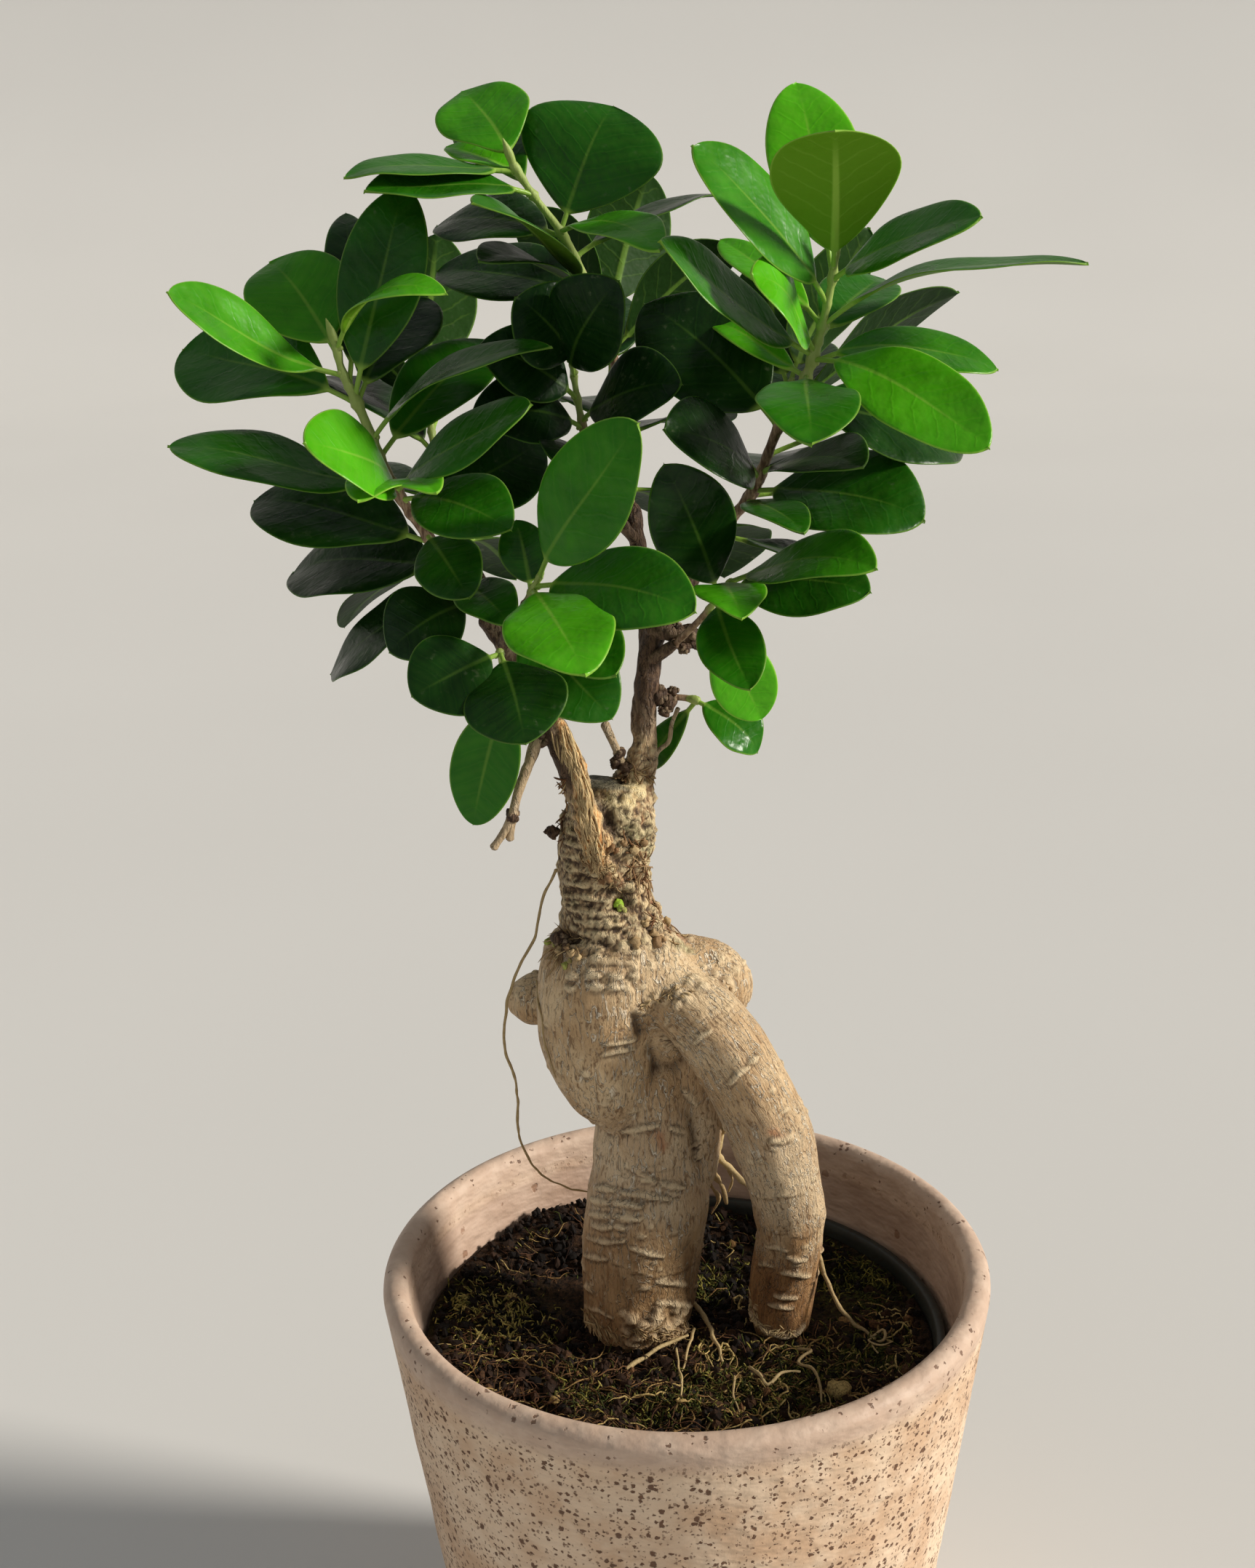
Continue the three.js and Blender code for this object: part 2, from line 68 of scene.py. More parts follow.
# Trunk members: [x, y, z, radius] along the middle of each
BODY = [[-15, 2, 226, 9.5], [-16, 1, 215, 10.6], [-15, 1, 208, 12.8], [-16, 0, 200, 14.8],
        [-17.5, 0, 192, 14.8], [-18.5, 0, 184, 13.8], [-17.5, -1, 176, 12.2], [-16, -2, 169, 9.6],
        [-14.5, -2, 163, 5.5]]
SHOULDER = [[-12, 0, 204, 10], [-6, 0, 196, 11.5], [-4, 2, 187, 11], [-6, 4, 178, 9]]
MAIN_LEG = [[-8, 6, 180, 8.5], [-8, 6, 170, 9.8], [-8, 6, 162, 11], [-8.5, 5, 154, 12.4],
            [-8, 4, 145, 13.7], [-9, 4, 134, 14.4], [-10.4, 5, 122, 14], [-11.4, 6, 110, 13.2],
            [-12.6, 7, 99, 12], [-13, 7, 92, 10.5]]
RIGHT_LEG = [[-5, -2, 195, 6.5], [-0.5, -5, 194, 7.8], [5, -8, 190, 8.6], [11, -10, 182, 9.2],
             [16.6, -10, 171, 9.4], [20.5, -8, 159, 9.2], [23.2, -5, 147, 8.4], [24.6, -1, 132, 7.5],
             [23.4, 3, 118, 7.9], [22.8, 5, 106, 7.2], [23, 6, 98, 5.6]]
RIGHT_KNOB = [[-6, 2, 198, 7], [1, 3, 198, 7.2], [6.5, 4.8, 195.2, 7.8], [10, 6, 191.8, 7],
              [11.8, 6.2, 188.8, 5.2]]
LEFT_KNOB = [[-22, 6, 188, 6], [-30, 10, 187, 5.9], [-34.6, 11.8, 186.6, 6.1],
             [-37.2, 12.8, 186.3, 4.8]]
NECK = [[-16, 1, 213, 10.4], [-16.8, 1, 222, 10.2], [-15.2, 1, 231, 11], [-14.2, 1, 237, 9.8],
        [-13.6, 2, 242, 8.6]]
LEFT_BRANCH = [[-13, -5, 221, 4.2], [-15.8, -8, 228, 3.9], [-20, -10, 241, 3.2],
               [-23.6, -9, 253, 3], [-30.2, -9, 268, 2.5], [-38.5, -10, 282.6, 2.1]]
RIGHT_BRANCH = [[-9.5, 2, 234, 4.8], [-8, 2, 242, 3.9], [-7, 3, 248, 3.1], [-6.7, 4, 256, 2.8],
                [-6, 4, 264, 2.7], [-5, 5, 272, 2.5], [-2.5, 5, 279, 2.2], [3.8, 5, 288.7, 2]]
# The right branch's swollen foot
COLLAR = [[-10, 1.4, 231, 5.8], [-10, 1.4, 237, 5.6], [-9.6, 1.6, 241.6, 4.7], [-8.6, 2.2, 246, 3.6],
          [-7.4, 3, 250, 2.9]]
# The main leg's shoulder under the body
CROTCH = [[-4.5, 0, 177, 5], [-5.5, -1.2, 170, 6.6], [-6.8, -0.6, 163, 8.6], [-7.6, 1.4, 154, 10.8]]
# The web between the legs
WEB = [[0, 0, 182, 5], [2, 1, 172, 6], [3.4, 3, 162, 5.8], [3, 4, 153, 5.8], [1.5, 4.5, 145, 6]]
MIDDLE_BRANCH = [[-5.5, 5, 269, 2], [-6.3, 12, 285, 1.9], [-8.8, 16.6, 300, 1.8]]
TWIGS = [
    [[-35.7, -10, 277, 1.6], [-33.5, -15, 281.5, 1.3], [-32.2, -17.5, 284.1, 1.2]],
    [[-29.6, -9, 267, 1.5], [-32.2, -13, 268.8, 1.3], [-34, -16.4, 269.6, 1.2]],
    [[-5.6, 4, 269, 1.6], [-2.5, 2, 271.5, 1.4], [0.2, 0.2, 273.8, 1.2]],
    [[-6.4, 4, 260, 1.8], [-3.5, 4.5, 260.5, 1.6], [-1, 5, 260.6, 1.2]],
    [[-34, -9.5, 274.5, 1.8], [-38, -3.5, 281, 1.6], [-42, 4.6, 289.6, 1.5]],
    [[-2.5, 5, 279, 1.8], [3, 10, 284, 1.6], [8.4, 13.4, 290.4, 1.5]],
    [[-6.6, 13, 287, 1.7], [-8, 20, 292, 1.5], [-9.6, 25.6, 298, 1.4]],
    [[-7.5, 14.5, 293, 1.5], [-11, 11, 298, 1.3], [-14, 9, 303.2, 1.2]],
]
DEAD_TWIGS = [
    [[-25, -9, 255, 1.2], [-28.5, -9.5, 256.8, 1.4], [-30.8, -11, 252, 1.2], [-33.5, -13, 245.5, 1.1],
     [-35, -14, 240, 1]],
    [[-34.6, -13.7, 241, 1], [-36.6, -14.5, 237.4, 0.9], [-39, -15, 234, 0.8]],
    [[-34.6, -13.8, 241, 0.9], [-35.2, -14, 238, 0.9], [-35.6, -14.2, 235.6, 0.8]],
    [[-10.5, 1, 243, 1.2], [-12.5, 1, 249, 1], [-15.2, 0.6, 256, 0.8]],
    [[-8, 3, 243, 1.1], [-5.4, 3.6, 245.4, 0.7], [-4, 4, 248.6, 0.6], [-1.6, 4.5, 250.6, 0.5],
     [-0.8, 4.8, 254.6, 0.45], [0.6, 5, 258, 0.5]],
    [[-5, 4.6, 276, 1.9], [-1, 3, 275.6, 1.8], [1.6, 2.4, 275, 1.4]],
]

# Shoots: the stem, then for each leaf where it leaves the stem as part of its length, its tip's x, y and z,
# its width, the lean of its upper face towards the viewer in degrees and the height of its arch, and for
# some how deep it is folded and which part of its length is widest. Each leaf's tone runs from 0, dark, to
# 1, bright: partly the leaf's age, from old and dark to young and bright, and partly painted shade, so that
# leaves lying in shadow, at the back and in the middle, have low tones; a row of the bud's width is the bud.
SHOOTS = {
    "shoot_left": dict(
        stem=[[-38.8, -10.1, 283, 1.9], [-44.7, -11, 292, 1.8], [-50, -12, 301, 1.6],
              [-56, -12, 311, 1.5], [-62, -10, 326, 1.3], [-65.5, -8.5, 334, 1.1], [-66.3, -8, 339, 0.9]],
        leaves=[[0.9, -94, -28, 352, 16, 38, -2.5, 0.18], [0.96, -82, 10, 354.3, 21.5, 50, 2],
                [0.82, -52, 0, 369, 18, 45, 2], [0.98, -42, -25, 350, 12, 20, 6],
                [0.8, -102.5, 14, 336.5, 25, 45, 3], [0.52, -100, -16, 321, 22, 17, 0],
                [0.53, -69, -36, 324, 20.5, 52, 3, 0.1, 0.48], [0.68, -23, -17, 339, 16, 12, 5],
                [0.5, -27, -25, 329, 18, 30, 2], [0.52, -60, -34, 313, 12, 20, 2],
                [0.5, -45.2, -32, 313.5, 10, 20, 2], [0.47, -31, -32, 305.5, 18, 40, 3],
                [0.3, -88, 4, 306, 25, 30, 2], [0.2, -83, 16, 287.5, 25, 40, 3],
                [0.12, -75, 6, 267, 20, 30, 2], [0.06, -58, -20, 278.5, 19, 45, 3],
                [0.33, -40, -31, 292, 14, 60, 2], [0.14, -32, -33, 287, 12, 40, 2],
                [0.42, -27, 10, 316, 20, 60, 2], [0.62, -37, 22, 336, 18, 40, 2],
                [0.86, -67, 20, 363.5, 11, 45, 2], [0.8, -50, 16, 346, 17, 45, 2],
                [0.99, -68, -8, 344, 3, 0, 0]],
        tones=[0.7, 0.66, 0.25, 0.8, 0.35, 0.35, 0.84, 0.3, 0.45, 0.9, 0.85, 0.35, 0.12, 0.05, 0.05, 0.05,
               0.2, 0.3, 0.1, 0.35, 0.1, 0.1, 1],
        spurs=[[[-43.8, -11, 290.6, 1.6], [-43.2, -14.4, 293, 1.5], [-42.6, -17, 295.8, 1.3]]]),
    "shoot_top": dict(
        stem=[[-9, 17, 300.3, 1.7], [-10, 20, 318, 1.6], [-12.5, 20, 335, 1.5], [-17, 16, 348, 1.3],
              [-21.5, 12, 358, 1.2], [-27, 9, 366, 1], [-31, 8, 372.5, 0.8]],
        leaves=[[0.98, -42, 24, 387, 20, 50, 2, 0.06], [0.78, -10.5, 23, 383, 30.5, 60, 2, 0.05, 0.6],
                [0.97, -63, -5, 371.4, 16, 14, 1], [0.9, -58.5, -9, 369, 18, 22, 1.5],
                [0.95, -45, 18, 376, 10, 20, 1], [0.62, -37, -15, 366, 19, 30, 2],
                [0.78, -1.5, -24, 357.3, 14, 26, 3], [0.76, -49, 28, 360, 20, 30, 2],
                [0.56, -50, 32, 350, 22, 30, 2], [0.6, -37, -6, 355, 18, 20, 2],
                [0.9, -42, 35, 380, 14, 40, 2], [0.7, 12, 30, 365, 14, 0, 2],
                [0.99, -32.4, 7, 377, 3, 0, 0]],
        tones=[0.66, 0.26, 0.45, 0.4, 0.85, 0.4, 0.7, 0.12, 0.06, 0.06, 0.3, 0.1, 1]),
    "shoot_right": dict(
        stem=[[4, 5, 289, 1.8], [10, 3, 298, 1.8], [16, 0, 304.5, 1.7], [22, -5, 320, 1.5],
              [27.6, -8, 331, 1.4], [31.6, -10, 346, 1.1], [33, -11, 355, 0.9]],
        leaves=[[0.93, 26.5, 12, 386.8, 18.5, 60, 2, 0.06], [0.945, 30.5, -36, 378, 24.5, -56, 2, 0.1, 0.6],
                [0.86, 5.5, -18, 375.6, 21, 30, 2, 0.08], [0.92, 58, -30, 362, 19, 32, 2, 0.1, 0.47],
                [0.8, 81, -15, 352, 18, 2, 5], [0.76, 45, 15, 348, 16, 30, 2],
                [0.72, -1, -28, 359, 18, 35, -1.5], [0.73, 16, -27, 352.4, 18.5, 45, 2],
                [0.8, 11, 15, 356, 10, 30, 2], [0.7, 65, -12, 332, 16, 25, 4],
                [0.71, 60, -36, 320, 18.5, 48, 3.5], [0.66, 26, -45, 323, 20, 40, 3, 0.1, 0.6],
                [0.6, 61.5, 5, 313, 22, 40, 3], [0.36, 36.5, -30, 316.5, 18, 30, 2],
                [0.3, 50, -20, 304, 25.5, 36, 3], [0.26, 26, -24, 302.2, 12, 10, 2],
                [0.34, -1, -22, 323, 22, 45, 3], [0.66, 9, 8, 340, 8, 30, 1],
                [0.5, -5, 12, 344, 26, 55, 2], [0.99, 34, -12, 361, 3, 0, 0]],
        tones=[0.95, 0.75, 0.62, 0.52, 0.45, 0.4, 0.55, 0.9, 0.85, 0.62, 0.76, 0.5, 0.12, 0.1, 0.25, 0.3,
               0.03, 0.85, 0.05, 1]),
    "shoot_front": dict(
        stem=[[-32, -18, 284.5, 1.1], [-28.6, -24, 290.4, 1], [-26, -27, 295.5, 0.8]],
        leaves=[[0.96, -6.3, -45, 327.4, 21, 50, 2, 0.06], [0.78, 4, -52, 293.7, 20.5, 46, 3, 0.05],
                [0.7, -16.2, -64, 285.5, 21, 36, 3, 0.03], [0.66, -31, -19, 305, 10, 60, 2],
                [0.4, -11, -50, 281, 16, 40, 2], [0.2, -12.4, -33, 267.3, 19, 52, 2]],
        tones=[0.58, 0.5, 0.8, 0.2, 0.35, 0.3]),
    "shoot_low_left": dict(
        stem=[[-34.2, -16.7, 269.8, 1.1], [-34.5, -20.3, 271.4, 1], [-34.9, -25.6, 279.6, 0.8]],
        leaves=[[0.95, -51.5, -38, 274.2, 18.5, 58, 2, 0.04], [0.98, -29, -45, 266.2, 21, 56, 2, 0.04],
                [0.1, -43.5, -13, 238.2, 14.5, 70, 2, 0.1, 0.46]],
        tones=[0.12, 0.1, 0.5]),
    "shoot_low_right": dict(
        stem=[[0.4, 0, 274, 1.1], [6, -6, 281, 1], [10, -10, 287, 0.9], [12, -12, 290, 0.8]],
        leaves=[[0.98, 38.4, -42, 299, 17.5, 34, 3], [0.86, 39, -25, 290.6, 20, 38, 2],
                [0.94, 13, -42, 290, 14.5, 9, 2, 0.1, 0.5], [0.72, 15, -30, 272, 13.5, 60, 2],
                [0.6, 18.5, -7, 258.5, 14, 60, 2], [0.76, -1, -24, 316, 18, 60, 2]],
        tones=[0.58, 0.25, 0.72, 0.45, 0.85, 0.06]),
    "shoot_hanging": dict(
        stem=[[-0.7, 5, 260.6, 1.1], [2, 5, 260.4, 1], [5, 4, 260, 0.9]],
        leaves=[[0.8, 18, 0, 249.5, 13, 34, 2, 0.16], [0.95, -7.6, 18, 239.7, 7, 70, 1]],
        tones=[0.5, 0.3]),
    "shoot_middle": dict(
        stem=[[-14.2, 8.9, 303.5, 1.1], [-17, 5, 314, 1.1], [-19, 4, 325, 1], [-20, 5, 333, 0.8]],
        leaves=[[0.98, -30, -4, 347, 20, 50, 3], [0.9, -10, -10, 350, 20, 55, 3],
                [0.75, -38, -4, 337.6, 17, 50, 3], [0.55, -40, -8, 324, 18, 45, 3],
                [0.6, 2, -8, 330, 20, 45, 3], [0.3, -22, -18, 316, 16, 40, 3]],
        tones=[0.05, 0.05, 0.1, 0.03, 0.03, 0.03]),
    "shoot_back_left": dict(
        stem=[[-42.2, 4.9, 290, 1.4], [-47, 15, 301, 1.3], [-52, 26, 314, 1.1], [-53, 33, 326, 0.9]],
        leaves=[[0.08, -74, 22, 274, 22, 0, 3], [0.15, -36, 40, 280, 22, -20, 3],
                [0.35, -86, 36, 304, 24, 0, 3], [0.45, -42, 60, 300, 24, -20, 3],
                [0.62, -80, 48, 326, 23, -10, 3], [0.75, -46, 66, 330, 23, -30, 3],
                [0.85, -78, 34, 342, 22, -30, 2], [0.97, -52, 56, 356, 21, -50, 2]],
        tones=[0.03, 0.06, 0.06, 0.12, 0.08, 0.18, 0.1, 0.25]),
    "shoot_back_right": dict(
        stem=[[8.6, 13.6, 290.7, 1.4], [16, 22, 300, 1.3], [23, 31, 312, 1.1], [27, 36, 324, 0.9]],
        leaves=[[0.1, 40, 14, 280, 22, 0, 3], [0.18, 12, 48, 278, 22, -20, 3],
                [0.35, 56, 26, 294, 24, 0, 3], [0.45, 26, 62, 302, 24, -20, 3],
                [0.6, 66, 36, 316, 23, -10, 3], [0.72, 32, 70, 328, 22, -30, 3],
                [0.84, 64, 40, 342, 22, -30, 2], [0.95, 24, 58, 352, 21, -50, 2],
                [0.98, 44, 44, 356, 20, -40, 2]],
        tones=[0.03, 0.06, 0.06, 0.12, 0.08, 0.18, 0.1, 0.25, 0.2]),
    "shoot_back": dict(
        stem=[[-9.7, 25.9, 298.3, 1.3], [-12, 36, 312, 1.2], [-13, 44, 326, 1], [-13, 47, 338, 0.8]],
        leaves=[[0.1, 6, 54, 286, 21, -10, 3], [0.15, -24, 62, 290, 22, -20, 3],
                [0.35, 14, 62, 312, 22, -20, 3], [0.42, -26, 74, 316, 22, -20, 3],
                [0.62, 12, 70, 334, 21, -30, 3], [0.7, -20, 80, 342, 22, -30, 3],
                [0.82, 16, 48, 352, 20, -40, 2], [0.9, -34, 58, 360, 20, -50, 2],
                [0.98, -4, 60, 368, 20, -60, 2]],
        tones=[0.04, 0.06, 0.1, 0.1, 0.08, 0.16, 0.12, 0.2, 0.25]),
}

# Raised scars on the bark: two points of the picture that each runs between, height and half thickness
SCARS = [
    [780, 1343, 794, 1343, 0.9, 0.9], [806, 1341, 822, 1341, 1, 1], [838, 1341, 853, 1343, 1, 1],
    [866, 1341, 876, 1343, 0.9, 0.8], [778, 1357, 790, 1358, 0.8, 0.9], [808, 1356, 826, 1357, 1, 1],
    [838, 1357, 852, 1358, 0.9, 1], [858, 1359, 864, 1360, 0.7, 0.7], [831, 1436, 875, 1428, 0.8, 0.7],
    [829, 1450, 871, 1441, 0.9, 0.7], [802, 1475, 810, 1480, 0.6, 0.8], [856, 1556, 904, 1547, 0.9, 0.8],
    [922, 1551, 940, 1556, 0.8, 0.7], [882, 1622, 900, 1625, 0.9, 0.8], [910, 1628, 940, 1633, 0.9, 0.8],
    [820, 1634, 846, 1636, 0.8, 0.7], [856, 1640, 920, 1649, 1, 0.8], [813, 1650, 838, 1654, 0.8, 0.8],
    [844, 1654, 882, 1659, 1, 0.8], [812, 1669, 836, 1672, 0.8, 0.8], [845, 1672, 880, 1676, 1, 0.8],
    [814, 1684, 842, 1687, 0.8, 0.7], [846, 1687, 858, 1689, 0.8, 0.7], [808, 1701, 858, 1706, 0.8, 0.7],
    [955, 1683, 972, 1687, 1, 0.9], [960, 1708, 971, 1712, 0.8, 0.9], [804, 1726, 834, 1731, 0.7, 0.7],
    [867, 1715, 911, 1727, 0.8, 0.8], [904, 1763, 956, 1768, 0.8, 0.8], [904, 1790, 948, 1794, 0.9, 0.8],
    [806, 1768, 814, 1774, 0.8, 1.2], [804, 1796, 842, 1812, 0.5, 0.6], [955, 1434, 976, 1418, 0.7, 0.7],
    [1004, 1490, 1028, 1468, 0.9, 0.8], [1030, 1460, 1040, 1454, 0.8, 0.8],
    [1062, 1568, 1086, 1563, 0.7, 1.1], [1082, 1728, 1108, 1731, 0.8, 0.8],
    [1054, 1714, 1080, 1720, 0.6, 0.7], [1076, 1750, 1112, 1754, 0.8, 0.9],
    [1066, 1781, 1094, 1784, 0.9, 0.9], [1058, 1793, 1088, 1798, 0.9, 0.8],
    [1044, 1738, 1062, 1741, 0.5, 0.6], [940, 1500, 956, 1520, 0.5, 0.8],
]
# Wrinkles across the neck, as the scars are given
WRINKLES = [
    [775, 1194, 848, 1204, 0.7, 0.8], [772, 1212, 836, 1222, 0.8, 0.8], [776, 1231, 842, 1240, 0.8, 0.7],
    [780, 1249, 846, 1257, 0.8, 0.8], [788, 1266, 852, 1272, 0.9, 0.8], [796, 1284, 850, 1288, 0.9, 0.8],
    [786, 1302, 828, 1306, 0.8, 0.8], [800, 1320, 868, 1324, 0.8, 0.8], [778, 1100, 800, 1104, 0.5, 0.6],
    [776, 1120, 800, 1126, 0.5, 0.6], [774, 1140, 802, 1148, 0.6, 0.6], [773, 1158, 806, 1166, 0.6, 0.7],
    [772, 1176, 812, 1184, 0.7, 0.7], [902, 1210, 922, 1216, 0.8, 0.8], [908, 1232, 932, 1240, 0.8, 0.8],
]
# Pale warts: point of the picture and radius
WARTS = [
    (845, 1155, 1.2), (822, 1190, 1.1), (842, 1194, 1.2), (880, 1196, 2.3), (868, 1178, 1.3),
    (902, 1172, 1.4), (915, 1186, 1.3), (905, 1146, 1.2), (892, 1128, 1.1), (903, 1108, 1),
    (868, 1218, 1.3), (884, 1222, 1.4), (872, 1240, 1.2), (862, 1254, 1.1), (896, 1248, 1.2),
    (840, 1292, 1.2), (858, 1300, 1.3), (876, 1308, 1.1), (890, 1290, 1.2), (908, 1272, 1.2),
    (926, 1288, 1.1), (914, 1304, 1), (872, 1330, 1.1), (896, 1326, 1), (800, 1296, 1.1),
    (818, 1288, 1), (836, 1268, 1), (818, 1318, 1.1), (935, 1262, 1.1), (948, 1292, 1), (990, 1318, 1.1),
    (1012, 1334, 1), (968, 1330, 0.9), (955, 1344, 1.2), (1000, 1350, 1.3), (984, 1340, 1), (966, 1356, 1.2),
    (944, 1372, 1), (930, 1384, 1.1), (1008, 1362, 0.9), (872, 1346, 0.9), (884, 1356, 0.9),
]
# Hollows, dented and painted with shade: two points of the picture, half width and depth
HOLLOWS = [
    [838, 1226, 862, 1236, 1.5, 1.5], [846, 1246, 870, 1252, 1, 0.8], [838, 1120, 846, 1150, 1.1, 0.9],
    [862, 1152, 872, 1166, 1.1, 0.9], [808, 1116, 804, 1150, 0.8, 0.7], [890, 1200, 900, 1222, 0.9, 0.8],
    [846, 1176, 856, 1190, 1, 0.8], [884, 1262, 900, 1282, 0.9, 0.8], [872, 1398, 880, 1420, 1.3, 0.9],
]
# Stains on the neck: points of the picture and half width
RUST = [([(905, 1075), (916, 1100), (918, 1135), (910, 1160)], 1.7),
        ([(846, 1078), (858, 1122), (884, 1130)], 1.6),
        ([(872, 1196), (894, 1226), (918, 1256), (936, 1290)], 2), ([(826, 1196), (850, 1216)], 1.6),
        ([(905, 1560), (912, 1578)], 1), ([(1060, 1556), (1080, 1566)], 0.9)]
LICHEN = [([(842, 1100), (868, 1140), (884, 1166)], 2.6), ([(890, 1148), (904, 1176), (896, 1200)], 2),
          ([(806, 1186), (836, 1200)], 1.6), ([(928, 1296), (946, 1306)], 1.4)]
# Lumpy seams: points of the picture, then how many warts lie along them, their size and their spread
SEAMS = [
    ([(872, 1396), (886, 1384), (904, 1374), (926, 1364), (950, 1352)], 34, 1.1, 1.5),
    ([(862, 1818), (884, 1834), (912, 1826), (936, 1812), (950, 1824)], 44, 1.2, 3.4),
    ([(896, 1420), (916, 1404), (930, 1416)], 14, 0.7, 1.6),
    ([(975, 1345), (990, 1352), (1010, 1350)], 10, 0.9, 1.5),
]
# The pale rim of peeled bark round the right leg's foot
PEELED_RIM = [(1026, 1764), (1029, 1784), (1034, 1804), (1043, 1820), (1058, 1832), (1076, 1837),
              (1092, 1834), (1103, 1824)]
# Knobs at the main leg's foot: point of the picture and radius
FOOT_KNOBS = [(868, 1812, 1.6), (884, 1820, 1.9), (900, 1812, 1.7), (912, 1824, 2.1), (928, 1814, 1.8),
              (940, 1802, 1.6), (896, 1834, 1.8), (878, 1838, 1.6), (922, 1840, 1.7), (938, 1828, 1.7),
              (906, 1800, 1.2), (948, 1814, 1.3), (862, 1830, 1.3), (866, 1846, 1.3), (856, 1806, 1)]
# Torn bark down the front of the left branch: points of the picture and half widths
TORN_BARK = [(770, 994, 1), (784, 1030, 1.4), (796, 1062, 1.8), (804, 1100, 2.3), (810, 1130, 2.7),
             (816, 1160, 3.3), (821, 1180, 3.4)]
# Pale wounds high on the neck: point of the picture and radius
WOUNDS = [(877, 1084, 2.7), (866, 1104, 1.9)]
# Shreds of bark: points of the picture that they start along, spread in pixels, number, length, direction in
# the picture, how far they turn from it, tone and how far they stand off
SHREDS = [
    ([(772, 1000), (795, 1062), (806, 1120), (816, 1172)], 14, 150, (3, 8), (0.25, 1), 0.12, 0.8, 0.5),
    ([(804, 1170), (824, 1190), (846, 1204)], 12, 80, (1.5, 4.5), (0.3, 1), 0.9, 0.45, 0.9),
    ([(866, 1160), (885, 1200), (905, 1235), (930, 1282)], 14, 170, (1.5, 5), (0.3, 1), 1.6, 0.3, 1.1),
    ([(850, 1066), (868, 1062), (896, 1068)], 8, 40, (1.5, 3.5), (0.6, 1), 1.2, 0.3, 0.8),
    ([(786, 1290), (772, 1300), (764, 1312)], 9, 60, (2, 5.5), (-0.8, 0.4), 1, 0.5, 2.2),
    ([(778, 1060), (776, 1110), (774, 1160)], 4, 26, (1.5, 4), (-0.9, 0.3), 0.9, 0.15, 1.6),
    ([(806, 1806), (822, 1822), (850, 1834)], 7, 46, (1.5, 4.5), (0.7, 0.6), 1, 0.75, 1),
    ([(868, 1826), (910, 1840), (944, 1826)], 9, 70, (1.5, 4.5), (0.3, 1), 1.3, 0.55, 1),
    ([(1030, 1780), (1046, 1822), (1090, 1832)], 4, 50, (1, 2.6), (-0.2, 1), 1.2, 0.95, 0.6),
    ([(880, 1386), (912, 1372), (944, 1358)], 7, 40, (1, 2.5), (1, 0.4), 1.4, 0.6, 0.5),
]

# Roots in the air and on the soil: [x, y, z] along each, and its radius
THREADS = [
    ([[-26.8, -3, 224], [-30, -4, 217], [-32, -5, 209], [-36.5, -6, 200.5], [-39.3, -6, 190],
      [-39.3, -5, 180.5], [-37.3, -4, 171], [-38, -2, 161.5], [-36.8, 2, 152], [-33.4, 6, 143.7],
      [-28.6, 10, 138.5], [-22.5, 14, 134]], 0.36),
    ([[31.3, -0.5, 126.3], [32.6, -1, 121.5], [34, -1.4, 116.6], [36, -1.6, 112.6], [38.6, -2, 108.6],
      [42, -2.4, 105.6], [44.6, -3, 103.6]], 0.55),
    ([[11.4, 1, 161], [9.8, 4, 156.5], [9, 6, 153], [8.2, 6, 148.4], [10.6, 6, 145], [13.4, 5.4, 142.4],
      [16.8, 4.6, 139]], 0.85),
    ([[8.4, 6, 150], [7.4, 6.4, 146], [7.6, 7, 142.4], [9.4, 7, 139.4], [10.2, 7, 135]], 0.75),
    ([[7.2, 6.4, 144], [6, 7, 140.6], [8, 8, 136.4], [6.8, 8.4, 131]], 0.5),
    ([[10.8, 6, 144.6], [11.6, 6.6, 141], [10.6, 7, 137.8]], 0.45),
    ([[-0.5, 9, 109], [2.8, 6, 107], [5.9, -1.6, 105.4], [8.4, -11.2, 104]], 0.75),
    ([[-14.3, -13.8, 104], [-8.9, -9.6, 105], [-3.4, -6.2, 105.6], [0.3, -4.4, 106.4]], 0.7),
    ([[2.2, -1.5, 106], [0.4, -7.9, 105.4], [-1.2, -15.6, 104.2]], 0.5),
    ([[26, -8, 104.4], [29, -10.3, 106], [25.5, -14.9, 105.6], [28.9, -18, 106], [30.1, -23.4, 105.4],
      [30.4, -28.8, 104]], 0.5),
    ([[14.7, -14.1, 104], [16.7, -19.7, 105.6], [18.3, -23.2, 105.4], [22.1, -18.8, 106],
      [26.2, -17.9, 105]], 0.55),
    ([[-2.5, -7.8, 104.6], [-1.6, -18.6, 105.4], [-1.3, -26.8, 104.8], [-1.3, -34, 105]], 0.35),
    ([[10.7, -18.9, 105], [10.3, -26.3, 105.4], [11.8, -34.2, 104.4]], 0.35),
    ([[44.4, -3, 104], [47, -1.6, 105.2], [46.4, -5, 104.4], [43.6, -6.6, 105], [44.8, -9.6, 104.2]], 0.45),
    ([[44.8, -3, 104], [42.8, -5.4, 105], [45.6, -8, 105.4], [48.4, -6, 104.6]], 0.35),
]
# Threads that are knobbly and a little green, by their place in the list above
KNOBBLY_THREADS = (2, 3, 4, 5)
